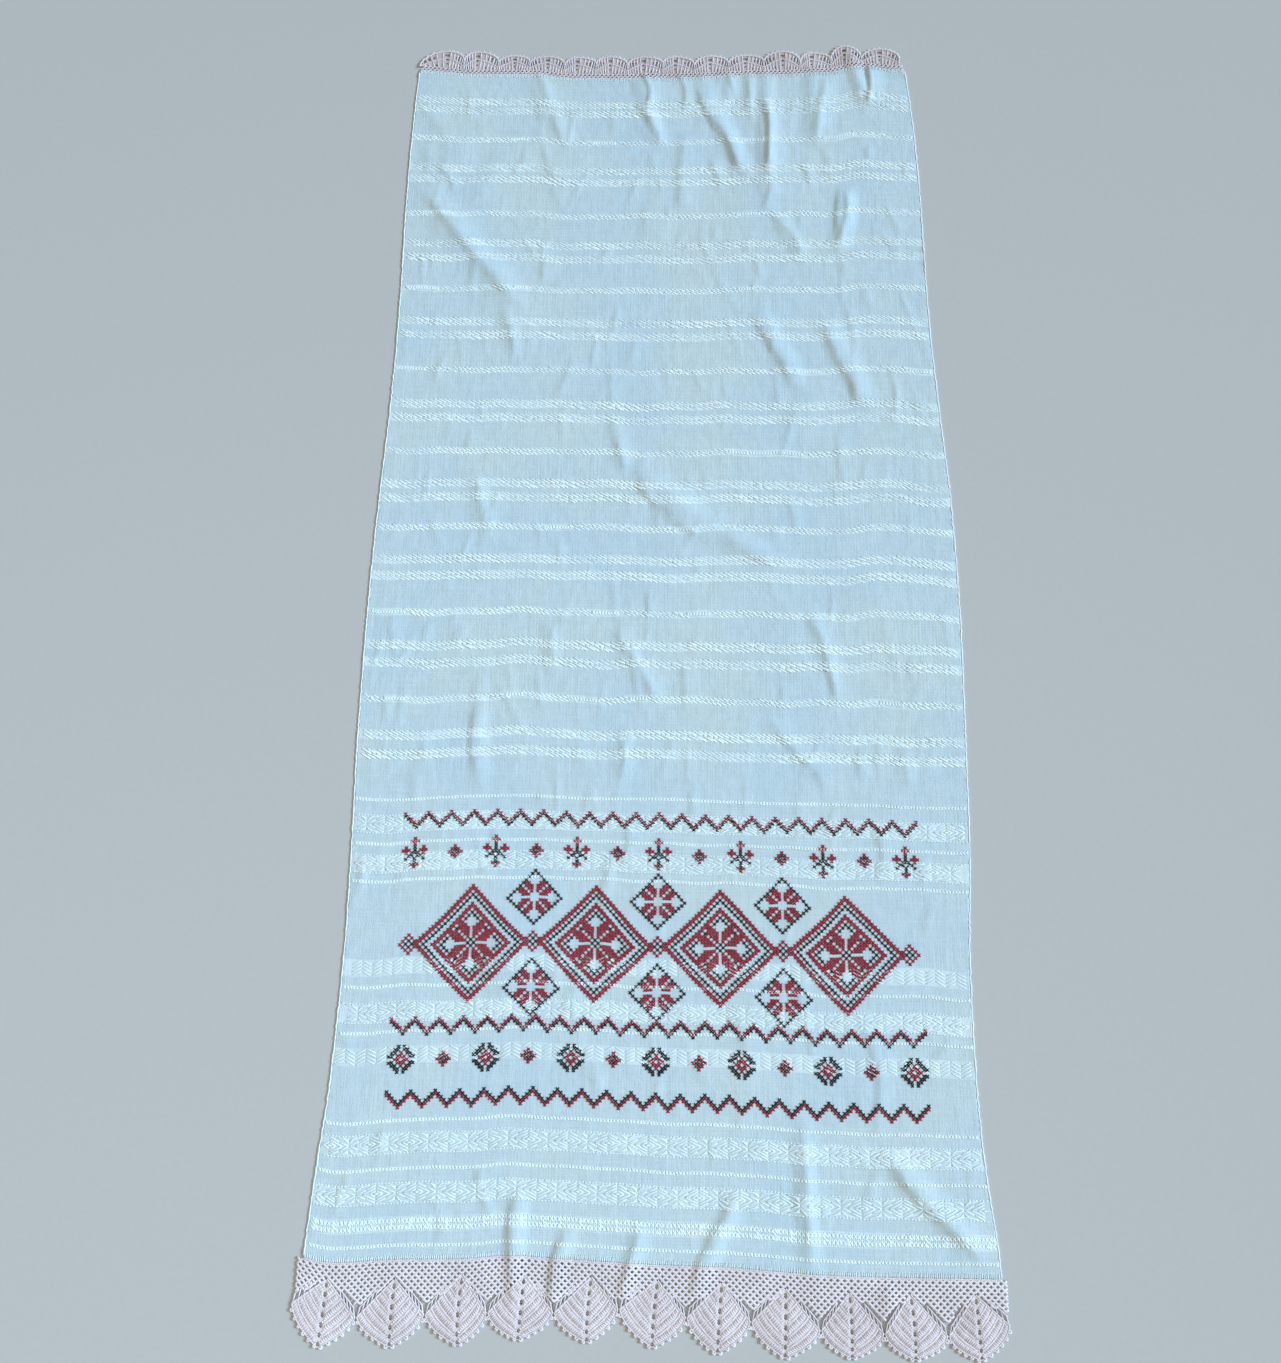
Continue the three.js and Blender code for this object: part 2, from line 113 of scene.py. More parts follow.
# The creases: the crest from its upper end down, the width of its steep left and its right side, its height
CREASES = [
    (((-21, 934), (-13, 915), (-12, 905), (-15, 889)), 3.5, 14, 1.7),
    (((-24, 896), (-15, 888), (-10, 875), (-4, 864), (-3, 852)), 4, 10, 1.4),
    (((-27, 880), (-15, 867), (-5, 856)), 2.5, 8, 0.7),
    (((9, 932), (17, 915), (18, 900), (17, 884)), 3.5, 12, 1.1),
    (((19, 874), (16, 845), (15, 812), (14, 780)), 7.5, 18, 1),
    (((-10, 893), (4, 892), (19, 889)), 2.5, 8, 0.4),
    (((24, 924), (30, 905), (40, 880), (52, 864), (59, 842), (71, 817)), 3, 12, 1.5),
    (((53, 930), (57, 916), (61, 907)), 2.5, 9, 0.8), (((71, 930), (72, 905), (74, 872)), 3.5, 10, 0.7),
    (((83, 908), (88, 884), (88, 858), (86, 822)), 4, 18, 2.3),
    (((92, 822), (87, 806), (82, 790)), 4.5, 12, 1.1),
    (((86, 794), (97, 776), (107, 768), (113, 746)), 3.5, 14, 0.9),
    (((138, 932), (134, 900), (130, 880), (127, 854)), 7, 14, 1.7),
    (((172, 940), (174, 916), (173, 904), (169, 891)), 3, 14, 2.2),
    (((146, 818), (143, 798), (142, 782), (141, 764)), 2.5, 9, 0.9),
    (((147, 816), (151, 800), (150, 786), (144, 766), (141, 752)), 3, 10, 1.1),
    (((36, 842), (43, 832), (48, 812)), 4.5, 10, 1), (((99, 860), (116, 845), (127, 837)), 2.5, 8, 0.5),
    (((114, 839), (119, 829), (123, 815)), 3.5, 10, 0.9), (((110, 802), (112, 770)), 2.5, 9, 0.4),
    (((-211, 900), (-185, 867), (-181, 856)), 4, 14, 0.6),
    (((-190, 836), (-180, 827), (-173, 813)), 3, 10, 0.9),
    (((-213, 822), (-188, 797), (-168, 770), (-151, 748), (-130, 722), (-108, 696)), 6, 20, 1.4),
    (((-102, 760), (-96, 745), (-96, 724)), 4.5, 14, 0.7), (((-202, 726), (-196, 716)), 3.5, 9, 0.4),
    (((-125, 696), (-118, 672), (-117, 656)), 4, 12, 0.7),
    (((-97, 892), (-88, 868), (-82, 852)), 3.5, 10, 0.7),
    (((-77, 892), (-79, 868), (-82, 852)), 3.5, 9, 0.6),
    (((-113, 938), (-101, 912), (-97, 890)), 4.5, 14, 0.8), (((-40, 902), (-45, 864)), 4, 12, 0.4),
    (((74, 692), (86, 668), (97, 648), (106, 626)), 4, 18, 1),
    (((129, 694), (137, 660), (150, 632), (152, 604)), 4.5, 18, 1), (((90, 654), (92, 608)), 4, 12, 0.5),
    (((-41, 652), (-37, 608)), 4, 12, 0.5), (((-37, 590), (-31, 576), (-26, 555)), 3.5, 12, 0.9),
    (((-18, 558), (-9, 537), (5, 525), (20, 511), (46, 496)), 4.5, 18, 1.4),
    (((48, 499), (66, 492), (90, 480)), 4, 14, 0.7), (((137, 592), (141, 538)), 4.5, 14, 0.6),
    (((98, 537), (106, 504)), 4, 12, 0.6), (((-8, 462), (-6, 436)), 2.5, 9, 0.7),
    (((-28, 442), (-27, 420), (-16, 407), (-7, 391), (2, 368)), 4, 15, 1.1),
    (((110, 446), (122, 420), (127, 394), (134, 370)), 4.5, 15, 1.1),
    (((-76, 434), (-78, 417), (-74, 400)), 3.5, 10, 0.7), (((20, 406), (22, 368)), 4.5, 12, 0.7),
    (((93, 390), (90, 368)), 4, 12, 0.7), (((-131, 374), (-133, 340), (-126, 314)), 4, 14, 0.9),
    (((-165, 344), (-177, 314)), 4, 12, 0.5), (((-25, 348), (-22, 329), (-27, 314)), 3.5, 12, 1),
    (((-56, 348), (-57, 326)), 2.5, 9, 0.4), (((22, 342), (24, 314)), 3.5, 10, 0.5),
    (((76, 366), (92, 348), (102, 336), (116, 322), (124, 302)), 4, 15, 1.1),
    (((147, 344), (145, 318)), 4, 12, 0.7), (((160, 350), (159, 322)), 3.5, 10, 0.6),
    (((178, 334), (179, 310)), 3.5, 10, 0.5), (((152, 290), (160, 268), (155, 244)), 4, 15, 0.9),
    (((186, 264), (188, 243)), 4, 12, 0.7), (((193, 288), (192, 273)), 3.5, 9, 0.5),
    (((-20, 296), (-18, 272), (-22, 248)), 4, 14, 0.7), (((-198, 266), (-192, 254)), 4, 10, 0.4),
    (((138, 160), (146, 140), (152, 118), (150, 98)), 4, 14, 0.7), (((203, 144), (186, 126)), 3.5, 9, 0.4),
    (((100, 92), (102, 66), (103, 30), (104, -6)), 4.5, 14, 0.7),
    (((150, 74), (173, 45), (196, 24), (218, 2)), 4.5, 16, 1.5), (((136, 76), (144, 58)), 3.5, 10, 0.5),
    (((72, 80), (68, 62)), 3.5, 9, 0.4), (((39, 80), (43, 62)), 3.5, 10, 0.6),
    (((61, 50), (50, 30), (34, 4), (27, -24)), 4.5, 14, 1),
    (((-4, 24), (-12, 2), (-19, -24)), 3.5, 12, 0.9), (((-50, 20), (-60, 6), (-62, -30)), 3.5, 12, 1),
    (((-84, 46), (-90, 27), (-89, 10), (-86, -30)), 4.5, 14, 1.1), (((-180, 78), (-179, 64)), 3.5, 9, 0.4),
    (((-212, 142), (-205, 128)), 3.5, 9, 0.4),
    (((167, 780), (180, 766), (188, 752), (193, 745)), 2.5, 8, 0.5),
    (((170, 778), (173, 758)), 2.5, 8, 0.4), (((130, 833), (144, 818)), 2.5, 8, 0.4),
    (((99, 875), (108, 867)), 2.5, 7, 0.3), (((72, 727), (76, 713)), 3, 8, 0.5),
    (((2, 796), (7, 782)), 3, 9, 0.5), (((-141, 556), (-138, 534), (-130, 508)), 3, 9, 0.5),
    (((-138, 580), (-126, 562), (-112, 556)), 2.5, 8, 0.3),
]
CREASE_STEPS = 12
CREASE_TAPER = 0.26
CREST_ROUNDING = 0.22

# Small upright wrinkles, scattered
WRINKLES = 260
WRINKLE_FIELD = ((-212, 214), (12, 924))
WRINKLE_LENGTH = (16, 60)
WRINKLE_LEAN = 0.3
WRINKLE_BEND = 0.05
WRINKLE_HALF = (2.8, 6.0)
WRINKLE_SKEW = 1.5
WRINKLE_RISE = (0.15, 0.6)
WRINKLE_TAPER = 0.45
WRINKLE_CRISP = 0.7

# Broad waves of the whole cloth
SWELLS = 26
SWELL_FIELD = ((-190, 190), (40, 900))
SWELL_TURN = 0.7
SWELL_REACH = (30, 90)
SWELL_TAPER = 0.5
SWELL_HALF = (16, 42)
SWELL_RISE = (0.25, 0.8)

# The woven bands: kind, height, how pale its field is, and its places on the middle column
BAND_KINDS = (
    ("double", 7.4, 0.48, (
        896.5, 887.5, 830.5, 819.5, 758.5, 745.5, 686.5, 674.5, 613.5, 601.5, 546.0, 534.5,
        484.0, 471.0, 416.5, 403.0, 349.0, 335.0)),
    ("single", 5.8, 0.5, (858.5, 786.5, 716.5, 643.5, 573.0, 510.0, 442.0, 375.5)),
    ("chain", 3.0, 0.28, (302.0, 271.0, 244.5, 173.0, 143.0, 86.0, 56.0, 9.0)),
    ("lozenge", 13.2, 0.42, (285.0, 257.0, 156.0, 72.0, 41.0)),
    ("chevron", 11.5, 0.42, (186.0, 128.0)),
    ("crossed", 9.5, 0.42, (22.0,)),
)
MIDDLE_SPAN = (0.8, 923.3)
FLOAT_HEIGHT = (0.3, 0.5)
FLOAT_ENDS = 0.06
SELVEDGE_ROOM = 0.8
PATCHES = 22
PATCH_PALENESS = (0.15, 1.25)
BAND_REACH = 240
BLOCK_REACH = 230.0
EDGE_REACH = 228
RING_PITCH = 4.4
UPPER_SHARE = 0.55

# Embroidery: counted stitches, a generic pattern of stepped lozenges, stars and small rosettes
STITCH = 2.05
STITCH_WIDTH = 0.98
STITCH_HEIGHT = 0.5
STITCH_REACH = 0.94
STITCH_JITTER = 0.07
STITCH_LAP = 0.35
EMBROIDERY_MIDDLE = 3.0
EMBROIDERY_ROW = 200.0

# The leaves of the lower edging: the upper and the lower end of each spine, then the notch after it
LEAF_START = (-229.5, -32.0)
LEAVES = [
    (-207.5, -12.5, -210.5, -54.0, -187.0, -39.5), (-163.5, -11.5, -164.5, -52.5, -143.0, -37.0),
    (-120.0, -7.5, -121.0, -50.5, -103.0, -35.0), (-80.0, -6.5, -83.0, -46.5, -60.5, -34.0),
    (-37.0, -7.5, -39.0, -47.0, -19.0, -31.0), (5.5, -8.5, 2.5, -49.0, 24.0, -35.0),
    (46.5, -9.0, 43.5, -51.5, 65.0, -36.5), (87.0, -11.5, 86.0, -53.0, 109.0, -40.5),
    (127.5, -13.0, 128.0, -52.0, 149.0, -41.5), (166.0, -13.0, 167.5, -52.0, 189.0, -42.0),
    (207.0, -12.5, 209.0, -51.5, 228.0, -35.0),
]
LEAF_INSET = 0.4
LEAF_SHOULDER = 5
LEAF_TIP = 1.2
LEAF_SIDE = 29
LEAF_CELLS = 36
LEAF_RIBS = 6
LEAF_BULGE = 3.0
LEAF_UNDER = 0.25
LEAF_FACE = 0.95
LEAF_DOME = 0.7
RIB_DEPTH = 0.05
SPINE_DEPTH = 0.05
FIRST_SPINE_HOLE = 2
SPINE_HOLE = 3
SPINE_HOLE_EVERY = 5
SPINE_GAP = 0.065
POST_STEP = 1.4

# The shells of the upper edging: the crown of each and the notch after it
SHELL_START = (-211.0, 937.5)
SHELLS = [
    (-187.5, 954.0, -173.0, 944.5), (-162.0, 953.0, -143.0, 942.0), (-129.5, 948.5, -116.0, 941.5),
    (-101.0, 947.5, -86.0, 938.5), (-76.0, 946.5, -59.0, 940.0), (-47.5, 947.0, -32.0, 938.0),
    (-19.0, 946.5, -2.0, 940.0), (8.0, 946.5, 25.0, 937.5), (38.0, 947.0, 54.0, 939.5),
    (68.0, 947.5, 84.0, 941.0), (100.0, 951.5, 115.0, 940.0), (124.0, 949.5, 141.0, 942.5),
    (152.0, 956.0, 167.0, 943.0), (182.0, 953.0, 199.0, 942.5),
]

# The strip that the shells stand on, and their stitches
STRIP_DEPTH = 5.8
STRIP_ROWS = 3
STRIP_ROW = 2.0
STRIP_PITCH = 3.6
STRIP_WAVE = 0.7
STRIP_OVERLAP = 0.8
SHELL_COLUMNS = 44
SHELL_ROWS = 14
SHELL_POSTS = 12
SHELL_LOOPS = 11
SHELL_GAP = 0.15
SHELL_CENTRE = 11.0

# Holes of a shell, in cells: its rows, then half its width at the middle, or its columns on each side
SHELL_HOLES = ((9, 11, 2), (6, 8, 1), (3, 4, 1))
SHELL_SLOTS = ((4, 12, 2, 4), (5, 12, 5, 7), (7, 11, 9, 11), (8, 10, 13, 14), (1, 3, 6, 7), (1, 3, 13, 14))

# Crochet thread: the net, the posts on the leaves' upper edges and the small loops
THREAD = 0.62
NET_THREAD = 0.86
NET_START = 1.9
NET_ROWS = 16
NET_ROW = 2.05
NET_PITCH = 4.3
NET_WAVE = 0.75
NET_FAN_TOP = -20
NET_FOOT = -35
NET_HEIGHT = 0.75
NET_REACH = 227.5
FAN_DEPTH = 5.4
FAN_STEP = 4.0
FAN_END = 0.5
FAN_LEAN = 0.22
PICOT_STEP = 4.6
PICOT_SIZE = 1.25

# Colours of the linen, of the floor and of the light around
LINEN_COOL = (0.530, 0.665, 0.745, 1)
LINEN_WARM = (0.600, 0.690, 0.700, 1)
LINEN_DEEP = (0.420, 0.520, 0.580, 1)
LINEN_PALE = (0.660, 0.780, 0.830, 1)
LINEN_BAND = (0.780, 0.900, 0.930, 1)
FLOOR_LIGHT = (0.50, 0.49, 0.48, 1)
FLOOR_DEEP = (0.45, 0.44, 0.43, 1)
AROUND = (0.405, 0.385, 0.305, 1)

# Cotton: a light and a deep colour, the roughness, and the twist in millimetres
COTTONS = {
    "white_thread": ((0.86, 0.95, 0.97, 1), (0.72, 0.84, 0.88, 1), 0.8, 0.5),
    "crochet_cotton": ((0.86, 0.79, 0.83, 1), (0.70, 0.62, 0.65, 1), 0.85, 0.6),
    # Darker cotton for the leaf pads under the posts and ribs: painted shade between the stitches, not a
    # colour of the thread.
    "pad_cotton_painted_shade": ((0.80, 0.72, 0.75, 1), (0.62, 0.53, 0.52, 1), 0.9, 0.6),
    # Darker still, for the shell pads: painted shade in the hollows between the shell posts, not a colour of
    # the thread.
    "pad_cotton_painted_deep_shade": ((0.62, 0.54, 0.55, 1), (0.46, 0.38, 0.38, 1), 0.9, 0.6),
    "red_thread": ((0.42, 0.012, 0.045, 1), (0.27, 0.006, 0.025, 1), 0.75, 0.5),
    "black_thread": ((0.016, 0.014, 0.020, 1), (0.008, 0.007, 0.010, 1), 0.75, 0.5),
}

# Lamps: name, kind, place and aim in metres, strength and colour
KEY_LAMP = ("key", "SUN", (3.7, 0.5, 1.85), (0, 0, 0), 4.95, (0.515, 0.735, 0.990))
KEY_ANGLE = math.radians(18)
FILL_LAMP = ("fill", "AREA", (-0.3, -0.8, 1.3), (0, -0.3, 0), 4.8, (0.84, 0.95, 1.0))
FILL_SIZE = 1.0
FLOOR_SIZE = 14


def random_from(seed):
    return np.random.default_rng(seed)


def mix(a, b, t):
    return a + (b - a) * t


def arrays(*values):
    """Numbers and arrays as arrays of one shape."""
    return np.broadcast_arrays(*(np.asarray(value, float) for value in values))


def unit(vectors):
    """Vectors at a length of 1."""
    return vectors / np.maximum(np.linalg.norm(vectors, axis=-1, keepdims=True), 1e-9)


def smooth_step(t):
    t = np.clip(t, 0, 1)
    return t * t * (3 - 2 * t)


def between(rows, column, at):
    """The value of a table's column at places between its rows, on a smooth curve through them."""
    keys = rows[:, 0]
    values = rows[:, column]
    k = np.clip(np.searchsorted(keys, at) - 1, 0, len(keys) - 2)
    before = np.maximum(k - 1, 0)
    after = np.minimum(k + 2, len(keys) - 1)
    span = keys[k + 1] - keys[k]
    t = (at - keys[k]) / span
    slope_in = (values[k + 1] - values[before]) / (keys[k + 1] - keys[before]) * span
    slope_out = (values[after] - values[k]) / (keys[after] - keys[k]) * span
    rise = values[k + 1] - values[k]
    bend = 3 * rise - 2 * slope_in - slope_out + t * (slope_in + slope_out - 2 * rise)
    return values[k] + t * (slope_in + t * bend)


def smooth_line(points, steps):
    """Points at even steps on a smooth curve through a short list of points."""
    points = np.array(points, float)
    gaps = np.linalg.norm(np.diff(points, axis=0), axis=1)
    reach = np.concatenate([[0], np.cumsum(gaps)])
    rows = np.column_stack([reach, points])
    at = np.linspace(0, reach[-1], steps + 1)
    return np.column_stack([between(rows, k + 1, at) for k in range(points.shape[1])])


def nearest_on(line, x, y):
    """How far points are from a line, how far along it the nearest place is, and on which side they are."""
    gap = np.full(x.shape, np.inf)
    share = np.zeros(x.shape)
    side = np.zeros(x.shape)
    steps = len(line) - 1
    for k in range(steps):
        start = line[k]
        along = line[k + 1] - start
        dx, dy = x - start[0], y - start[1]
        t = np.clip((dx * along[0] + dy * along[1]) / (along @ along), 0, 1)
        found = np.hypot(dx - t * along[0], dy - t * along[1])
        closer = found < gap
        gap = np.where(closer, found, gap)
        share = np.where(closer, (k + t) / steps, share)
        side = np.where(closer, along[0] * dy - along[1] * dx, side)
    return gap, share, side


def ramp(part, rounding):
    """An even slope from 0 to 1 that is rounded at both of its ends."""
    low = part ** 2 / (2 * rounding)
    high = 1 - rounding - (1 - part) ** 2 / (2 * rounding)
    even = part - rounding / 2
    return np.where(part < rounding, low, np.where(part > 1 - rounding, high, even)) / (1 - rounding)


def ridge(x, y, line, left, right, rise, taper, crisp):
    """How far one ridge lifts the points. A crisp one has an even left side and a hollow right one."""
    reach = max(left, right)
    low, high = line.min(axis=0) - reach, line.max(axis=0) + reach
    near = (x > low[0]) & (x < high[0]) & (y > low[1]) & (y < high[1])
    lifted = np.zeros(x.shape)
    if near.any():
        gap, share, side = nearest_on(line, x[near], y[near])
        part = np.clip(gap / np.where(side > 0, right, left), 0, 1)
        ends = smooth_step(np.minimum(share, 1 - share) / taper)
        soft = 0.5 + 0.5 * np.cos(math.pi * part)
        sharp = np.where(side > 0, (1 - part) ** 1.5, ramp(1 - part, CREST_ROUNDING))
        lifted[near] = rise * ends * mix(soft, sharp, crisp)
    return lifted


def fold_ridges():
    ridges = []
    for start, via, end, half, rise in FOLDS:
        t = np.linspace(0, 1, FOLD_STEPS + 1)[:, None]
        a, b, c = (np.array(p, float) for p in (start, via, end))
        line = (1 - t) ** 2 * a + 2 * t * (1 - t) * b + t ** 2 * c
        ridges.append((line, half, half, rise * SOFT_FOLDS, FOLD_TAPER, 0))
    return ridges


def crease_ridges():
    return [
        (smooth_line(points, CREASE_STEPS), left, right, rise, CREASE_TAPER, 1)
        for points, left, right, rise in CREASES
    ]


def wrinkle_ridges():
    random = random_from(11)
    ridges = []
    for _ in range(WRINKLES):
        x, y = (random.uniform(*span) for span in WRINKLE_FIELD)
        length = random.uniform(*WRINKLE_LENGTH)
        lean = random.normal(0, WRINKLE_LEAN)
        bend = random.normal(0, length * WRINKLE_BEND)
        top = (x - lean * length / 2, y + length / 2)
        foot = (x + lean * length / 2, y - length / 2)
        half = random.uniform(*WRINKLE_HALF)
        rise = random.uniform(*WRINKLE_RISE)
        line = smooth_line([top, (x + bend, y), foot], 5)
        ridges.append((line, half, half * WRINKLE_SKEW, rise, WRINKLE_TAPER, WRINKLE_CRISP))
    return ridges


def swell_ridges():
    random = random_from(12)
    ridges = []
    for _ in range(SWELLS):
        x, y = (random.uniform(*span) for span in SWELL_FIELD)
        turn = random.normal(math.pi / 2, SWELL_TURN)
        reach = random.uniform(*SWELL_REACH)
        away = np.array([math.cos(turn), math.sin(turn)]) * reach
        half = random.uniform(*SWELL_HALF)
        line = smooth_line([(x, y) + away, (x, y) - away], 4)
        ridges.append((line, half, half, random.uniform(*SWELL_RISE), SWELL_TAPER, 0))
    return ridges


RIDGES = fold_ridges() + crease_ridges() + wrinkle_ridges() + swell_ridges()


def lift(x, y):
    """The height of the towel's underside over the floor."""
    x, y = arrays(x, y)
    total = np.zeros(x.shape)
    for shape in RIDGES:
        total += ridge(x, y, *shape)
    return total


def weft_waves():
    """The waves of the weft: size, turns for each millimetre across, turns along the cloth, phase."""
    random = random_from(13)
    waves = []
    for _ in range(WAVES):
        size, length = random.uniform(*WAVE_SIZE), random.uniform(*WAVE_LENGTH)
        waves.append((size, 1 / length, random.uniform(-4, 4), random.random()))
    return waves


WEFT_WAVES = weft_waves()


def bow(x, share):
    """How far the weft bends down towards the selvedges, and its small waves."""
    total = BOW * (x / BOW_REACH) ** 2
    for size, across, along, phase in WEFT_WAVES:
        total = total + size * np.sin(2 * math.pi * (across * x + along * share + phase))
    return total * (1 - np.abs(2 * share - 1) ** 6)


def level_of(height):
    """The level in the weave of a height on the middle column."""
    low, high = MIDDLE_SPAN
    return (height - low) / (high - low) * CLOTH_LENGTH


def weft(x, level):
    """Where the weft of a level passes a place."""
    share = np.clip(level / CLOTH_LENGTH, 0, 1)
    return mix(between(LOWER_SEAM, 1, x), between(UPPER_SEAM, 1, x), share) + bow(x, share)


def level_at(x, y):
    """The level in the weave of a point."""
    low, high = between(LOWER_SEAM, 1, x), between(UPPER_SEAM, 1, x)
    share = np.clip((y - low) / (high - low), 0, 1)
    for _ in range(6):
        share = np.clip((y - low - bow(x, share)) / (high - low), 0, 1)
    return share * CLOTH_LENGTH


# The level, height, paleness and kind of each band
BANDS = [(level_of(at), tall, pale, kind) for kind, tall, pale, places in BAND_KINDS for at in places]


class Pile:
    """Small closed shapes gathered into one mesh."""

    def __init__(self):
        self.points = []
        self.faces = []
        self.count = 0

    def add(self, points, *face_lists):
        self.points.append(points)
        self.faces += [np.asarray(faces) + self.count for faces in face_lists]
        self.count += len(points)

    def add_many(self, points, faces):
        """Like shapes at once: points is shapes x corners x 3."""
        shapes, corners = points.shape[:2]
        offsets = np.arange(shapes)[:, None, None] * corners
        flat = (np.asarray(faces)[None] + offsets).reshape(-1, np.shape(faces)[1])
        self.add(points.reshape(-1, 3), flat)


def thread_piece(name, slot, lay, seed, *inputs):
    """A piece of the thread that its slot names. A function lays its threads into a new pile."""
    pile = Pile()
    lay(pile, random_from(seed), *inputs)
    return make_piece(name, pile, slot)


def new_object(name, data):
    made = bpy.data.objects.new(name, data)
    bpy.context.scene.collection.objects.link(made)
    return made


def make_piece(name, pile, material_name):
    """A mesh object from a pile, riding on the towel's one body."""
    points = (np.concatenate(pile.points) - MIDDLE) * MM
    loops = np.concatenate([faces.ravel() for faces in pile.faces])
    sizes = np.concatenate([np.full(len(faces), faces.shape[1]) for faces in pile.faces])
    mesh = bpy.data.meshes.new(name)
    mesh.vertices.add(len(points))
    mesh.vertices.foreach_set("co", points.astype(np.float32).ravel())
    mesh.loops.add(len(loops))
    mesh.loops.foreach_set("vertex_index", loops.astype(np.int32))
    mesh.polygons.add(len(sizes))
    mesh.polygons.foreach_set("loop_start", (np.cumsum(sizes) - sizes).astype(np.int32))
    mesh.polygons.foreach_set("use_smooth", np.ones(len(sizes), bool))
    mesh.update(calc_edges=True)
    mesh.validate()
    mesh.materials.append(MATERIALS[material_name])
    piece = new_object(name, mesh)
    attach(piece, "root")
    return piece


FLOAT_FACES = (
    (0, 3, 1), (0, 2, 3), (1, 3, 6), (1, 6, 4), (3, 2, 5), (3, 5, 6),
    (4, 6, 7), (6, 5, 7), (0, 1, 2), (1, 4, 5), (1, 5, 2), (4, 7, 5),
)
BAR_FACES = ((5, 2, 0), (3, 5, 0), (4, 1, 2), (5, 4, 2), (3, 0, 1), (4, 3, 1), (2, 1, 0), (4, 5, 3))


def sideways(start, end, width):
    return unit(np.cross(end - start, UP)) * np.reshape(width, (-1, 1)) / 2


def floats(pile, stations, width, height):
    """Threads that lie on the cloth for a moment, through four places each: pointed at both ends."""
    start, first, last, end = stations
    side, top = sideways(start, end, width), UP * np.reshape(height, (-1, 1))
    corners = [start, first - side, first + side, first + top, last - side, last + side, last + top, end]
    pile.add_many(np.stack(corners, axis=1), FLOAT_FACES)


def bars(pile, start, end, width, height):
    """Threads of even width, with a rounded ridge."""
    side, top = sideways(start, end, width), UP * np.reshape(height, (-1, 1))
    corners = [start + side, start - side, start + top, end + side, end - side, end + top]
    pile.add_many(np.stack(corners, axis=1), BAR_FACES)


def tube(pile, path, radius, sides=4, flat=0.8):
    """A round thread along a path, closed to a point at each end."""
    along = unit(np.gradient(path, axis=0))
    side = unit(np.cross(along, UP))
    over = np.cross(side, along)
    count = len(path)
    radius = np.broadcast_to(radius, (count,))[:, None]
    turns = (np.arange(sides) + 0.5) * 2 * math.pi / sides
    rings = [path + radius * (math.cos(a) * side + flat * math.sin(a) * over) for a in turns]
    ends = np.array([path[0] - along[0] * radius[0] * 0.6, path[-1] + along[-1] * radius[-1] * 0.6])
    points = np.concatenate([np.stack(rings, axis=1).reshape(-1, 3), ends])
    k = np.arange(sides)
    after = (k + 1) % sides
    last = (count - 1) * sides
    ring = np.arange(0, last, sides)[:, None]
    quads = np.stack([ring + sides + k, ring + sides + after, ring + after, ring + k], axis=2)
    tip = np.full(sides, last + sides)
    caps = [np.stack([k, after, tip], axis=1), np.stack([last + after, last + k, tip + 1], axis=1)]
    pile.add(points, quads.reshape(-1, 4), np.concatenate(caps))


def slab(pile, top, under, kept):
    """A closed sheet over a grid of points, without the cells that aren't kept."""
    rows, columns = top.shape[:2]
    count = rows * columns
    ids = np.arange(count).reshape(rows, columns)
    a, b, c, d = ids[:-1, :-1], ids[:-1, 1:], ids[1:, 1:], ids[1:, :-1]
    cells = np.stack([a, b, c, d], axis=2)
    faces = [cells[kept], cells[kept][:, ::-1] + count]
    framed = np.pad(kept, 1)
    inner = framed[1:-1, 1:-1]
    for (p, q), away in (((a, b), framed[:-2, 1:-1]), ((b, c), framed[1:-1, 2:]),
                         ((c, d), framed[2:, 1:-1]), ((d, a), framed[1:-1, :-2])):
        rim = inner & ~away
        faces.append(np.stack([q[rim], p[rim], p[rim] + count, q[rim] + count], axis=1))
    faces = np.concatenate(faces)
    points = np.concatenate([top.reshape(-1, 3), under.reshape(-1, 3)])
    used, packed = np.unique(faces, return_inverse=True)
    pile.add(points[used], packed.reshape(faces.shape))


# Cloth
def cloth_levels():
    """The levels of the cloth's rows: both sides of each band's edges, and even steps between them."""
    slope = HEM_DEPTH + HEM_SLOPE
    marks = [0, HEM_DEPTH, slope, CLOTH_LENGTH - slope, CLOTH_LENGTH - HEM_DEPTH, CLOTH_LENGTH]
    for level, tall, *_ in BANDS:
        for edge in (level - tall / 2, level + tall / 2):
            marks += [edge - BAND_EDGE, edge + BAND_EDGE]
    marks = np.unique(np.round(marks, 2))
    marks = marks[(marks >= 0) & (marks <= CLOTH_LENGTH)]
    levels = [marks[0]]
    for start, end in zip(marks[:-1], marks[1:]):
        steps = max(1, math.ceil((end - start) / ROW_STEP))
        levels += list(start + (end - start) * np.arange(1, steps + 1) / steps)
    return np.array(levels)


def band_share(x, level):
    """How pale the field of a band is, in uneven patches along it, and 0 off the bands."""
    random = random_from(14)
    share = np.zeros(x.shape)
    knots = np.linspace(-BAND_REACH, BAND_REACH, PATCHES)
    for at, tall, pale, _ in BANDS:
        inside = smooth_step((tall / 2 + BAND_EDGE - np.abs(level - at)) / (2 * BAND_EDGE))
        patches = np.interp(x, knots, random.uniform(*PATCH_PALENESS, PATCHES))
        share = np.maximum(share, inside * patches * pale)
    return share


def selvedges(level):
    """Where the left and the right selvedge are at a level."""
    return between(SELVEDGES, 1, level), between(SELVEDGES, 2, level)


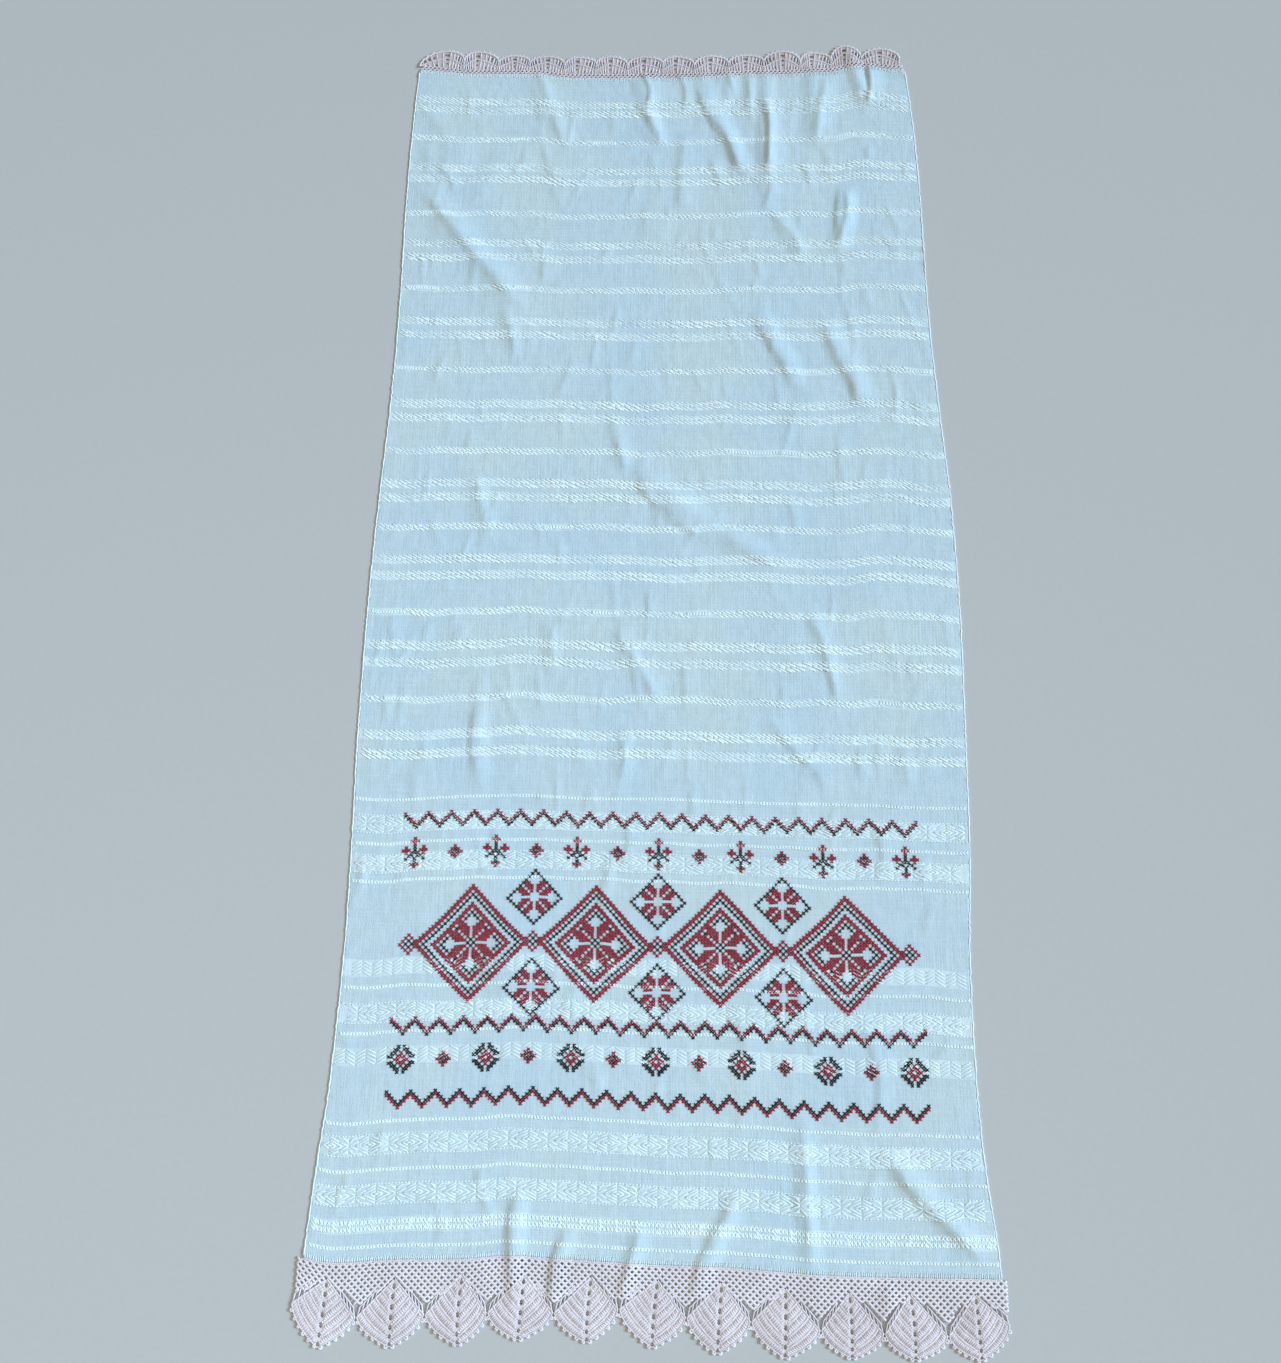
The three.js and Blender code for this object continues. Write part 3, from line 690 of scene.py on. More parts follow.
class Cloth:
    """The cloth's grid of points. Threads that lie on it take their height from it."""

    def __init__(self):
        self.levels = cloth_levels()
        across = np.linspace(0, 1, CLOTH_COLUMNS + 1)
        level = self.levels[:, None]
        left, right = selvedges(level)
        self.x = mix(left, right, across[None])
        self.y = weft(self.x, level)
        hem = np.minimum(level, CLOTH_LENGTH - level)
        extra = HEM_EXTRA * (1 - smooth_step((hem - HEM_DEPTH) / HEM_SLOPE))
        self.band = band_share(self.x, level)
        self.under = lift(self.x, self.y)
        self.top = self.under + CLOTH_THICK + extra + BAND_SWELL * self.band

    def height(self, x, y):
        """The height of the cloth's face at points."""
        level = level_at(x, y)
        left, right = selvedges(level)
        column = np.clip((x - left) / (right - left), 0, 1) * CLOTH_COLUMNS
        row = np.interp(level, self.levels, np.arange(len(self.levels)))
        i = np.clip(column.astype(int), 0, CLOTH_COLUMNS - 1)
        j = np.clip(row.astype(int), 0, len(self.levels) - 2)
        s, t = column - i, row - j
        low = mix(self.top[j, i], self.top[j, i + 1], s)
        high = mix(self.top[j + 1, i], self.top[j + 1, i + 1], s)
        return mix(low, high, t)

    def on(self, x, y, over=0.0):
        """Points on the cloth's face."""
        x, y = arrays(x, y)
        return np.stack([x, y, self.height(x, y) + over], axis=-1)

    def pile(self):
        """The closed mesh: a fine face, and an underside of larger cells that share its rim."""
        rows, columns = self.x.shape
        ids = np.arange(rows * columns).reshape(rows, columns)
        a, b, c, d = ids[:-1, :-1], ids[:-1, 1:], ids[1:, 1:], ids[1:, :-1]
        face = np.stack([a, b, c, d], axis=2).reshape(-1, 4)
        row_marks = sorted({*range(0, rows - 1, UNDER_STEP), rows - 1})
        column_marks = sorted({*range(0, columns - 1, UNDER_STEP), columns - 1})
        framed = np.pad(self.under, UNDER_STEP, mode="edge")
        lowest = self.under.copy()
        for dj in range(2 * UNDER_STEP + 1):
            for di in range(2 * UNDER_STEP + 1):
                lowest = np.minimum(lowest, framed[dj:dj + rows, di:di + columns])
        rim = np.zeros((rows, columns), bool)
        rim[[0, -1]] = True
        rim[:, [0, -1]] = True
        lowest = np.where(rim, self.under, lowest)
        used = rim.copy()
        used[np.ix_(row_marks, column_marks)] = True
        under_ids = np.full((rows, columns), -1)
        under_ids[used] = ids.size + np.arange(used.sum())
        pile = Pile()
        pile.points.append(np.stack([self.x, self.y, self.top], axis=2).reshape(-1, 3))
        pile.points.append(np.stack([self.x, self.y, lowest], axis=2)[used])
        pile.faces.append(face)
        for j0, j1 in zip(row_marks[:-1], row_marks[1:]):
            for i0, i1 in zip(column_marks[:-1], column_marks[1:]):
                low = range(i0, i1 + 1) if j0 == 0 else (i0, i1)
                high = range(i1, i0 - 1, -1) if j1 == rows - 1 else (i1, i0)
                left = range(j1, j0 - 1, -1) if i0 == 0 else (j1, j0)
                right = range(j0, j1 + 1) if i1 == columns - 1 else (j0, j1)
                around = [(j0, i) for i in low] + [(j, i1) for j in right][1:]
                around += [(j1, i) for i in high][1:] + [(j, i0) for j in left][1:-1]
                pile.faces.append(np.array([[under_ids[p] for p in reversed(around)]]))
        edge = [(0, i) for i in range(columns)]
        edge += [(j, columns - 1) for j in range(1, rows)]
        edge += [(rows - 1, i) for i in range(columns - 2, -1, -1)]
        edge += [(j, 0) for j in range(rows - 2, 0, -1)]
        over = np.array([ids[p] for p in edge])
        under = np.array([under_ids[p] for p in edge])
        pile.faces.append(np.stack([over, under, np.roll(under, -1), np.roll(over, -1)], axis=1))
        return pile


# Woven bands: each function gives strokes, with x and height in the band for both ends
def dashes(start, end, length, width):
    """A long stroke as shorter ones that just overlap."""
    start, end = np.array(start, float), np.array(end, float)
    count = max(1, round(np.linalg.norm(end - start) / length))
    cuts = np.linspace(0, 1, count + 1)
    made = []
    for a, b in zip(cuts[:-1], cuts[1:]):
        p, q = mix(start, end, a), mix(start, end, b)
        made.append((*mix(p, q, -0.05), *mix(p, q, 1.05), width))
    return made


def hatching(first, last, tall, pitch, slope, width):
    """Slanting strokes that fill a block of a band."""
    strokes = []
    run = tall / slope
    for x in np.arange(first - run, last, pitch):
        low, high = max(first, x), min(last, x + run)
        if high - low > 1.6:
            ends = [(at, tall / 2 - slope * (at - x)) for at in (low, high)]
            strokes += dashes(*ends, 7.5, width)
    return strokes


def blocks(random, low, high, gap):
    """Blocks of uneven length along a band, with small gaps between them."""
    x = -BLOCK_REACH
    while x < BLOCK_REACH:
        length = random.uniform(low, high)
        yield x, x + length
        x += length + random.uniform(*gap)


def double_strokes(random):
    """Slanting floats all along the band, full in some places and open in others."""
    strokes = []
    first, last, pitch, run, half_tall = -244, 232, 3.8, 14.5, 3.5
    size = random.uniform(0.7, 1.9, 30)
    for x in np.arange(first, last, pitch):
        width = np.interp(x, np.linspace(first, last, size.size), size) * random.uniform(0.88, 1.12)
        shift = random.normal(0, 0.3)
        ends = (x, half_tall + shift), (x + run + random.normal(0, 0.8), -half_tall + shift)
        strokes += dashes(*ends, 7.0, width)
    return np.array(strokes)


def single_strokes(random):
    """Short slanting floats in runs of uneven length, and now and then a run of small rings."""
    strokes = []
    pitch, run, half_tall, slanting = 3.4, 9.4, 2.5, 0.88
    for first, last in blocks(random, 10, 26, (-2.0, 1.5)):
        width = random.uniform(0.95, 1.7)
        if random.random() < slanting:
            for x in np.arange(first, last - 4, pitch):
                shift = random.normal(0, 0.25)
                strokes += dashes((x, half_tall + shift), (x + run, -half_tall + shift), 5.5, width)
        else:
            strokes += rings(first, last, 0.0, RING_PITCH, 1.9, 1.0)
    return np.array(strokes)


def rings(first, last, middle, pitch, reach, width):
    """Two zigzags that cross: a run of little rings."""
    strokes = []
    for number, x in enumerate(np.arange(first, last, pitch / 2)):
        up = reach if number % 2 else -reach
        for sign in (-1, 1):
            strokes.append((x, middle + sign * up, x + pitch / 2, middle - sign * up, width))
    return strokes


def chain_strokes(random):
    """A chain of little rings."""
    return np.array(rings(-EDGE_REACH, EDGE_REACH, 0.0, RING_PITCH, 1.5, 1.0))


def lozenge_strokes(random):
    """Nested lozenges side by side, nested angles between them, and a scalloped edge above and below."""
    strokes = []
    half_wide, half_tall, nested, dash = 13.2, 5.7, 3, 7.5
    shift = random.uniform(0, 2 * half_wide)
    for middle in np.arange(-BAND_REACH + shift, BAND_REACH, 2 * half_wide):
        bright = random.uniform(0.95, 1.15)
        side = middle + half_wide
        for k in range(1, nested + 1):
            wide, tall = half_wide * k / nested, half_tall * k / nested
            corners = [(middle - wide, 0), (middle, tall), (middle + wide, 0), (middle, -tall)]
            for a, b in zip(corners, corners[1:] + corners[:1]):
                strokes += dashes(a, b, dash, bright)
            if k < nested:
                for sign in (-1, 1):
                    peak = (side, sign * (half_tall - tall))
                    for foot in (side - half_wide + wide, side + half_wide - wide):
                        strokes += dashes(peak, (foot, sign * half_tall), dash, bright * 0.9)
        strokes.append((middle - 1.8, 0.0, middle + 1.8, 0.0, 1.2))
    low, high, half_pitch = 5.9, 6.8, RING_PITCH / 2
    for sign in (-1, 1):
        for x in np.arange(-EDGE_REACH, EDGE_REACH, RING_PITCH):
            strokes.append((x, sign * low, x + half_pitch, sign * high, 0.8))
            strokes.append((x + half_pitch, sign * high, x + RING_PITCH, sign * low, 0.8))
    return np.array(strokes)


def chevron_strokes(random):
    """Four zigzags side by side."""
    strokes = []
    run, rise, dash = 7, 1.6, 8
    shift = random.uniform(0, 2 * run)
    for line in (-3.6, -1.2, 1.2, 3.6):
        low, high = line - rise, line + rise
        for x in np.arange(-BAND_REACH + shift, BAND_REACH, 2 * run):
            width = random.uniform(0.95, 1.2)
            strokes += dashes((x, low), (x + run, high), dash, width)
            strokes += dashes((x + run, high), (x + 2 * run, low), dash, width)
    return np.array(strokes)


def crossed_strokes(random):
    """Two rows of small rings in short runs, and full blocks between them."""
    strokes = []
    for first, last in blocks(random, 10, 14, (0.3, 0.6)):
        for middle in (-2.1, 2.1):
            strokes += rings(first, last - 1.0, middle, 5.0, 2.0, 1.15)
        strokes += hatching(last - 2.6, last + 1.4, 7.6, 3.0, 0.9, 1.3)
    return np.array(strokes)


BAND_STROKES = {
    "double": double_strokes,
    "single": single_strokes,
    "chain": chain_strokes,
    "lozenge": lozenge_strokes,
    "chevron": chevron_strokes,
    "crossed": crossed_strokes,
}


def lay_bands(pile, random, cloth, bands):
    """Every stroke of some bands as a float on the cloth."""
    for level, *_, kind in bands:
        x0, q0, x1, q1, width = BAND_STROKES[kind](random).T
        left, right = selvedges(level)
        kept = (np.minimum(x0, x1) > left + SELVEDGE_ROOM) & (np.maximum(x0, x1) < right - SELVEDGE_ROOM)
        x0, q0, x1, q1, width = (values[kept] for values in (x0, q0, x1, q1, width))
        height = random.uniform(*FLOAT_HEIGHT, x0.size)
        stations = []
        for share, over in ((0.0, -FLOAT_ENDS), (0.16, 0.0), (0.84, 0.0), (1.0, -FLOAT_ENDS)):
            x = mix(x0, x1, share)
            stations.append(cloth.on(x, weft(x, level + mix(q0, q1, share)), over))
        floats(pile, stations, width * random.uniform(0.9, 1.1, width.size), height)


# Embroidery
SPRIG = (
    "....r....",
    "...rrr...",
    "....r....",
    ".r..k..r.",
    "rrr.k.rrr",
    ".r.kkk.r.",
    "..kk.kk..",
    ".k..k..k.",
    "....k....",
    "...rkr...",
    "....r....",
)
ROSETTE = (
    "...k.k...",
    "..kk.kk..",
    ".kk.r.kk.",
    "kk.rrr.kk",
    "..rr.rr..",
    "kk.rrr.kk",
    ".kk.r.kk.",
    "..kk.kk..",
    "...k.k...",
)
SMALL_CROSS = (
    "..r..",
    ".rkr.",
    "rkrkr",
    ".rkr.",
    "..r..",
)


class Chart:
    """Counted stitches: the colour of each cell, by column and row."""

    def __init__(self):
        self.cells = {}

    def ring(self, column, row, size, colour):
        """A lozenge's outline."""
        for i in range(-size, size + 1):
            for j in (size - abs(i), abs(i) - size):
                self.cells[column + i, row + j] = colour

    def star(self, column, row, size, colour):
        """An eight-pointed star of split petals."""
        for i in range(-size, size + 1):
            for j in range(-size, size + 1):
                far, near = max(abs(i), abs(j)), min(abs(i), abs(j))
                if 1 <= near <= size // 2 and near < far <= near + size // 2:
                    self.cells[column + i, row + j] = colour

    def stamp(self, rows, column, row):
        """A small charted motif, by the middle of its lowest row."""
        for up, line in enumerate(reversed(rows)):
            for along, mark in enumerate(line):
                if mark != ".":
                    self.cells[column + along - len(line) // 2, row + up] = mark

    def zigzag(self, reach, row, period, colours):
        """A zigzag line, one colour for each of its threads."""
        for column in range(-reach, reach + 1):
            up = abs((column + reach) % period - period // 2)
            for k, colour in enumerate(colours):
                self.cells[column, row + up + k] = colour


def embroidery():
    """The whole pattern: a frieze of great lozenges, with narrower borders above and below it."""
    chart = Chart()
    for column in range(-63, 64, 42):
        for size, colour in ((19, "r"), (18, "r"), (16, "k"), (13, "r"), (12, "r"), (10, "k"), (1, "k")):
            chart.ring(column, 0, size, colour)
        chart.star(column, 0, 8, "r")
    for column in range(-84, 85, 42):
        if abs(column) < 84:
            for row in (-15, 15):
                chart.star(column, row, 6, "r")
                chart.ring(column, row, 9, "k")
        chart.ring(column, 0, 3, "r")
        chart.ring(column, 0, 1, "k")
    for column in range(-84, 85, 28):
        chart.stamp(SPRIG, column, 26)
        chart.stamp(ROSETTE, column, -41)
    for column in range(-70, 71, 28):
        chart.stamp(SMALL_CROSS, column, 29)
        chart.stamp(SMALL_CROSS, column, -39)
    for row, colours in ((40, "kr"), (-29, "kr"), (-52, "rk")):
        chart.zigzag(88, row, 8, colours)
    return chart.cells


def lay_stitches(pile, random, cloth, cells, colour):
    """Cross stitches: two short bars on each charted cell, the second over the first."""
    chosen = np.array([cell for cell, mark in sorted(cells.items()) if mark == colour], float)
    count = len(chosen)
    x = EMBROIDERY_MIDDLE + chosen[:, 0] * STITCH + random.normal(0, STITCH_JITTER, count)
    level = level_of(EMBROIDERY_ROW) + chosen[:, 1] * STITCH + random.normal(0, STITCH_JITTER, count)
    reach = STITCH * STITCH_REACH / 2 * random.uniform(0.93, 1.1, count)
    for number, sign in enumerate((1, -1)):
        x0, x1 = x - reach, x + reach
        start = cloth.on(x0, weft(x0, level - sign * reach))
        end = cloth.on(x1, weft(x1, level + sign * reach))
        width = STITCH_WIDTH * random.uniform(0.88, 1.12, count)
        bars(pile, start, end, width, STITCH_HEIGHT * (1 + STITCH_LAP * number))


# Stitches along the cloth's edges
def lay_hem_stitches(pile, random, cloth):
    """Upright stitches along both hems."""
    room, pitch = 1.5, 1.25
    for level, inward in ((0.0, 1), (CLOTH_LENGTH, -1)):
        left, right = selvedges(level)
        x = np.arange(left + room, right - room, pitch)
        x = x + random.normal(0, 0.12, x.size)
        start = cloth.on(x, weft(x, np.full(x.size, level)) + inward * 0.1, 0.02)
        start[:, 1] -= inward * random.uniform(1.2, 1.9, x.size)
        last = level + inward * random.uniform(2.0, 3.0, x.size)
        end = cloth.on(x + random.normal(0, 0.2, x.size), weft(x, last), -0.05)
        bars(pile, start, end, 0.66, 0.36)


def lay_selvedge_threads(pile, random, cloth):
    """A thicker, uneven thread along each side of the cloth."""
    room, pitch, inset = 0.8, 1.9, 0.25
    level = np.arange(room, CLOTH_LENGTH - room, pitch)
    for side, inward in zip(selvedges(level), (inset, -inset)):
        path = cloth.on(side + inward + random.normal(0, 0.16, side.size), weft(side, level), -0.1)
        tube(pile, path, random.uniform(0.4, 0.78, side.size), 4, 0.7)


# Lower edging
def lace_on(x, y, over):
    """Points at a height over the surface that the lace lies on."""
    x, y = arrays(x, y)
    return np.stack([x, y, lift(x, y) + over], axis=-1)


def leaf_corners():
    """Crown, right corner, tip and left corner of each leaf."""
    corners = []
    left_x, left_y = LEAF_START
    for crown_x, crown, tip_x, tip, right_x, right_y in LEAVES:
        left = (left_x + LEAF_INSET, left_y + LEAF_SHOULDER)
        right = (right_x - LEAF_INSET, right_y + LEAF_SHOULDER)
        corners.append(np.array([(crown_x, crown), right, (tip_x, tip + LEAF_TIP), left]))
        left_x, left_y = right_x, right_y
    return corners


LEAF_CORNERS = leaf_corners()


def leaf_place(corners, a, b):
    """A place on a leaf: a runs from the upper right side to the lower left, b to the lower right."""
    crown, right, tip, left = corners
    a, b = (values[..., None] for values in arrays(a, b))
    place = mix(mix(crown, left, a), mix(right, tip, a), b)
    for slant, along, out in ((-0.7, b, a), (0.7, a, b)):
        swell = LEAF_BULGE * np.sin(math.pi * np.clip(along, 0, 1) ** 0.75) * out ** 2
        place = place + np.array([slant, -0.7]) * swell
    return place


def leaf_height(a, b):
    """The height of a leaf's face: ribs beside its lower edges, and a soft dome."""
    rim = np.maximum(a, b)
    rib = np.abs(np.sin(math.pi * LEAF_RIBS * rim)) ** 0.7
    dome = (1 - rim ** 3) * smooth_step(np.minimum(a, b) / 0.3)
    spine = np.exp(-((a - b) * 14) ** 2)
    return LEAF_FACE + LEAF_DOME * dome + RIB_DEPTH * rib - SPINE_DEPTH * spine


def on_leaf(corners, a, b, over=0.0):
    place = leaf_place(corners, a, b)
    return lace_on(place[..., 0], place[..., 1], leaf_height(*arrays(a, b)) + over)


def leaf_pad_pile():
    """The ground of each leaf: a closed relief with a row of holes along its spine."""
    pile = Pile()
    steps = np.linspace(0, 1, LEAF_CELLS + 1)
    a, b = np.meshgrid(steps, steps)
    kept = np.ones((LEAF_CELLS, LEAF_CELLS), bool)
    for hole in range(FIRST_SPINE_HOLE, LEAF_CELLS - SPINE_HOLE, SPINE_HOLE_EVERY):
        last = hole + SPINE_HOLE - 1
        kept[hole:last + 1, hole:last + 1] = False
        kept[[hole, last], [last, hole]] = True
    for corners in LEAF_CORNERS:
        top = on_leaf(corners, a, b)
        under = lace_on(top[..., 0], top[..., 1], LEAF_UNDER)
        slab(pile, top, under, kept)
    return pile


def lay_leaf_posts(pile, random):
    """The stitches of each rib: short threads side by side across it, clear of the holes along the spine."""
    for corners in LEAF_CORNERS:
        for rib in range(LEAF_RIBS):
            inner, outer, end = ((rib + share) / LEAF_RIBS for share in (0.12, 0.9, 0.75))
            along = np.arange(0.06, end, POST_STEP / LEAF_SIDE)
            along = along + random.normal(0, 0.003, along.size)
            beside_hole = (along * LEAF_CELLS - FIRST_SPINE_HOLE) % SPINE_HOLE_EVERY < SPINE_HOLE
            first = np.maximum(inner, along + np.where(beside_hole, 0.06, 0.01))
            for turned in (False, True):
                stations = []
                for share, over in ((0.0, -0.05), (0.3, 0.0), (0.7, 0.0), (1.0, -0.05)):
                    reach = mix(first, outer, share)
                    a, b = (along, reach) if turned else (reach, along)
                    stations.append(on_leaf(corners, a, b, over))
                width = random.uniform(0.75, 1.0, along.size)
                floats(pile, stations, width, random.uniform(0.45, 0.7, along.size))


def lay_leaf_ribs(pile, random):
    """The chains between the ribs, on both sides of the spine."""
    for corners in LEAF_CORNERS:
        for rib in range(1, LEAF_RIBS + 1):
            rim = rib / LEAF_RIBS - (0.012 if rib == LEAF_RIBS else 0)
            run = np.arange(0, rim - SPINE_GAP, POST_STEP / LEAF_SIDE)
            radius = 0.38 + 0.1 * np.sin(np.arange(run.size) * math.pi * 0.5)
            for a, b in ((run, rim), (rim, run)):
                tube(pile, on_leaf(corners, a, b, 0.05 + random.normal(0, 0.06, run.size)), radius)


def loop_path(place, away, size, bend=7):
    """A small loop that starts and ends at an edge."""
    turns = np.linspace(0, math.pi, bend)
    side = np.array([-away[1], away[0]])
    return place + size * (0.62 * np.cos(turns)[:, None] * side + np.sin(turns)[:, None] * away)


def lay_picots(pile, random):
    """Small loops along the lower edges of the leaves."""
    count = round(LEAF_SIDE / PICOT_STEP)
    for corners in LEAF_CORNERS:
        for turned in (False, True):
            away = np.array([0.74 if turned else -0.74, -0.67])
            for at in (np.arange(count) + 0.6) / count:
                a, b = (at, 1.0) if turned else (1.0, at)
                path = loop_path(leaf_place(corners, a, b), away, PICOT_SIZE * random.uniform(0.85, 1.15))
                tube(pile, lace_on(*path.T, NET_HEIGHT), THREAD * 1.2, 5)


def leaf_gap(x, y):
    """How far points are outside the upper edges of the nearest leaves. Inside a leaf it is below 0."""
    nearest = np.full(x.shape, np.inf)
    crowns = [-np.inf, *(corners[0][0] for corners in LEAF_CORNERS), np.inf]
    for number, (crown, right, _, left) in enumerate(LEAF_CORNERS):
        before = (x > crowns[number]) & (x <= crown[0])
        after = (x > crown[0]) & (x < crowns[number + 2])
        for foot, sign, here in ((left, 1, before), (right, -1, after)):
            along = crown - foot
            along = along / np.hypot(*along)
            away = sign * (along[0] * (y - foot[1]) - along[1] * (x - foot[0]))
            nearest = np.where(here, np.minimum(nearest, away), nearest)
    return nearest


def lay_net(pile, random):
    """The open net: waved threads that meet and part from row to row, outside the leaves and their fans."""
    x = np.arange(-NET_REACH, NET_REACH, NET_PITCH / 4)
    for row in range(NET_ROWS):
        y = between(LOWER_SEAM, 1, x) - NET_START - row * NET_ROW
        wave = NET_WAVE * np.cos(2 * math.pi * x / NET_PITCH + math.pi * row)
        y = y + wave + random.normal(0, 0.07, x.size)
        limit = np.where(y < NET_FAN_TOP, FAN_DEPTH * 0.72, 0.1)
        kept = (leaf_gap(x, y) > limit) & (y > NET_FOOT)
        edges = np.flatnonzero(np.diff(kept.astype(int), prepend=0, append=0))
        for first, last in zip(edges[::2], edges[1::2]):
            if last - first > 2:
                path = lace_on(x[first:last], y[first:last], NET_HEIGHT + 0.12 * (row % 2))
                tube(pile, path, NET_THREAD * random.uniform(0.9, 1.1, last - first), 6, 0.6)


def lay_fans(pile, random):
    """Posts that stand on the leaves' upper edges, and the chain that joins their outer ends."""
    for crown, right, _, left in LEAF_CORNERS:
        for foot, sign in ((left, 1), (right, -1)):
            along = crown - foot
            aim = np.array([sign * FAN_LEAN, 1.0])
            count = round(np.hypot(*along) * FAN_END / FAN_STEP) + 1
            posts = foot + along * np.linspace(0.03, FAN_END, count)[:, None]
            start = lace_on(*(posts - aim * 0.8).T, 0.5)
            end = lace_on(*(posts + aim * FAN_DEPTH).T, 0.5)
            bars(pile, start, end, random.uniform(0.95, 1.25, count), 0.9)
            rim = foot + along * np.linspace(0.0, 1.015, 24)[:, None]
            chain = foot + along * np.linspace(0.0, FAN_END, 12)[:, None] + aim * FAN_DEPTH
            for path, radius in ((rim, THREAD), (chain, THREAD * 0.9)):
                tube(pile, lace_on(*path.T, NET_HEIGHT + 0.1), radius)


def lay_foundation(pile, random):
    """The chain that the lower edging starts from."""
    first, last, pitch, drop, wave = -223.5, 225, 1.1, 0.85, 0.38
    x = np.arange(first, last, pitch)
    for shift in (0, 1):
        y = between(LOWER_SEAM, 1, x) - drop + wave * np.cos(math.pi * (np.arange(x.size) + shift))
        radius = random.uniform(0.45, 0.62, x.size)
        tube(pile, lace_on(x, y, NET_HEIGHT + 0.25 * shift), radius)


# Upper edging
def shell_outline():
    """Each shell: its crown, and the notches to its left and right."""
    made = []
    notch = SHELL_START
    for crown_x, top, next_x, dip in SHELLS:
        made.append(((crown_x, top), notch, (next_x, dip)))
        notch = (next_x, dip)
    return made


SHELL_OUTLINES = shell_outline()


def shell_place(shell, part, share):
    """A place on a shell: part runs from its left notch to its right, share from the strip to its edge."""
    crown, left, right = shell
    part, share = arrays(part, share)
    foot_x, foot_y = (np.where(part < 0, left[k], right[k]) for k in (0, 1))
    away = np.abs(part)
    turn = away * math.pi / 2
    gap = SHELL_GAP * np.sign(part) * away
    edge_x = mix(crown[0], foot_x, np.sin(turn)) - gap
    edge_y = mix(foot_y, crown[1], np.cos(turn))
    base_x = mix(crown[0], foot_x, away) - gap
    base_y = between(UPPER_SEAM, 1, base_x) + STRIP_DEPTH - STRIP_OVERLAP
    return mix(base_x, edge_x, share), mix(base_y, edge_y, share)


def on_shell(shell, part, share, over):
    return lace_on(*shell_place(shell, part, share), over)


def shell_pad_pile():
    """The ground of each shell, with holes over its middle and beside its notches."""
    pile = Pile()
    part, share = np.meshgrid(np.linspace(-1, 1, SHELL_COLUMNS + 1), np.linspace(0, 1, SHELL_ROWS + 1))
    kept = np.ones((SHELL_ROWS, SHELL_COLUMNS), bool)
    middle = SHELL_COLUMNS // 2
    for low, high, half in SHELL_HOLES:
        kept[low:high, middle - half:middle + half] = False
    for low, high, first, last in SHELL_SLOTS:
        kept[low:high, first:last] = False
        kept[low:high, SHELL_COLUMNS - last:SHELL_COLUMNS - first] = False
    for shell in SHELL_OUTLINES:
        under = on_shell(shell, part, share, 0.2)
        top = under + UP * (0.7 + 0.35 * np.sin(math.pi * share))[..., None]
        slab(pile, top, under, kept)
    return pile


def lay_shell_posts(pile, random):
    """The posts of each shell in two tiers, the chains over them, and its fine looped edge."""
    half = np.linspace(0.13, 0.96, SHELL_POSTS // 2)
    part = np.concatenate([-half[::-1], half])
    across = np.linspace(-1, 1, 27)
    inner, ledge = (0.3 + 0.25 * (1 - np.abs(at)) for at in (part, across))
    for shell in SHELL_OUTLINES:
        for low, high in ((0.0, inner), (inner + 0.05, 0.97)):
            jitter = random.normal(0, 0.01, part.size)
            start = on_shell(shell, part, low, 0.85)
            end = on_shell(shell, part + jitter, high, 0.9)
            bars(pile, start, end, random.uniform(1.0, 1.4, part.size), 0.8)
        for share, width in ((ledge, 0.8), (0.93, 1.2)):
            path = on_shell(shell, across, share, 1.3)
            path[:, 2] += 0.25 * np.cos(np.arange(across.size) * math.pi)
            tube(pile, path, THREAD * width)
        centre = np.array(shell[0]) - (0, SHELL_CENTRE)
        for at in np.linspace(-0.9, 0.9, SHELL_LOOPS):
            place = np.array(shell_place(shell, at, 1.0))
            away = (place - centre) / np.linalg.norm(place - centre)
            path = loop_path(place - away * 0.5, away, 1.5, 5)
            tube(pile, lace_on(*path.T, 0.8), THREAD * 0.85)


def lay_strip(pile, random):
    """The fine net between the upper seam and the shells."""
    x = np.arange(-209.6, 202.6, STRIP_PITCH / 4)
    for row in range(STRIP_ROWS):
        wave = STRIP_WAVE * np.cos(2 * math.pi * x / STRIP_PITCH + math.pi * row)
        y = between(UPPER_SEAM, 1, x) + 0.8 + row * STRIP_ROW + wave + random.normal(0, 0.05, x.size)
        radius = 0.55 * random.uniform(0.85, 1.15, x.size)
        tube(pile, lace_on(x, y, 0.8 + 0.1 * (row % 2)), radius, 5, 0.9)


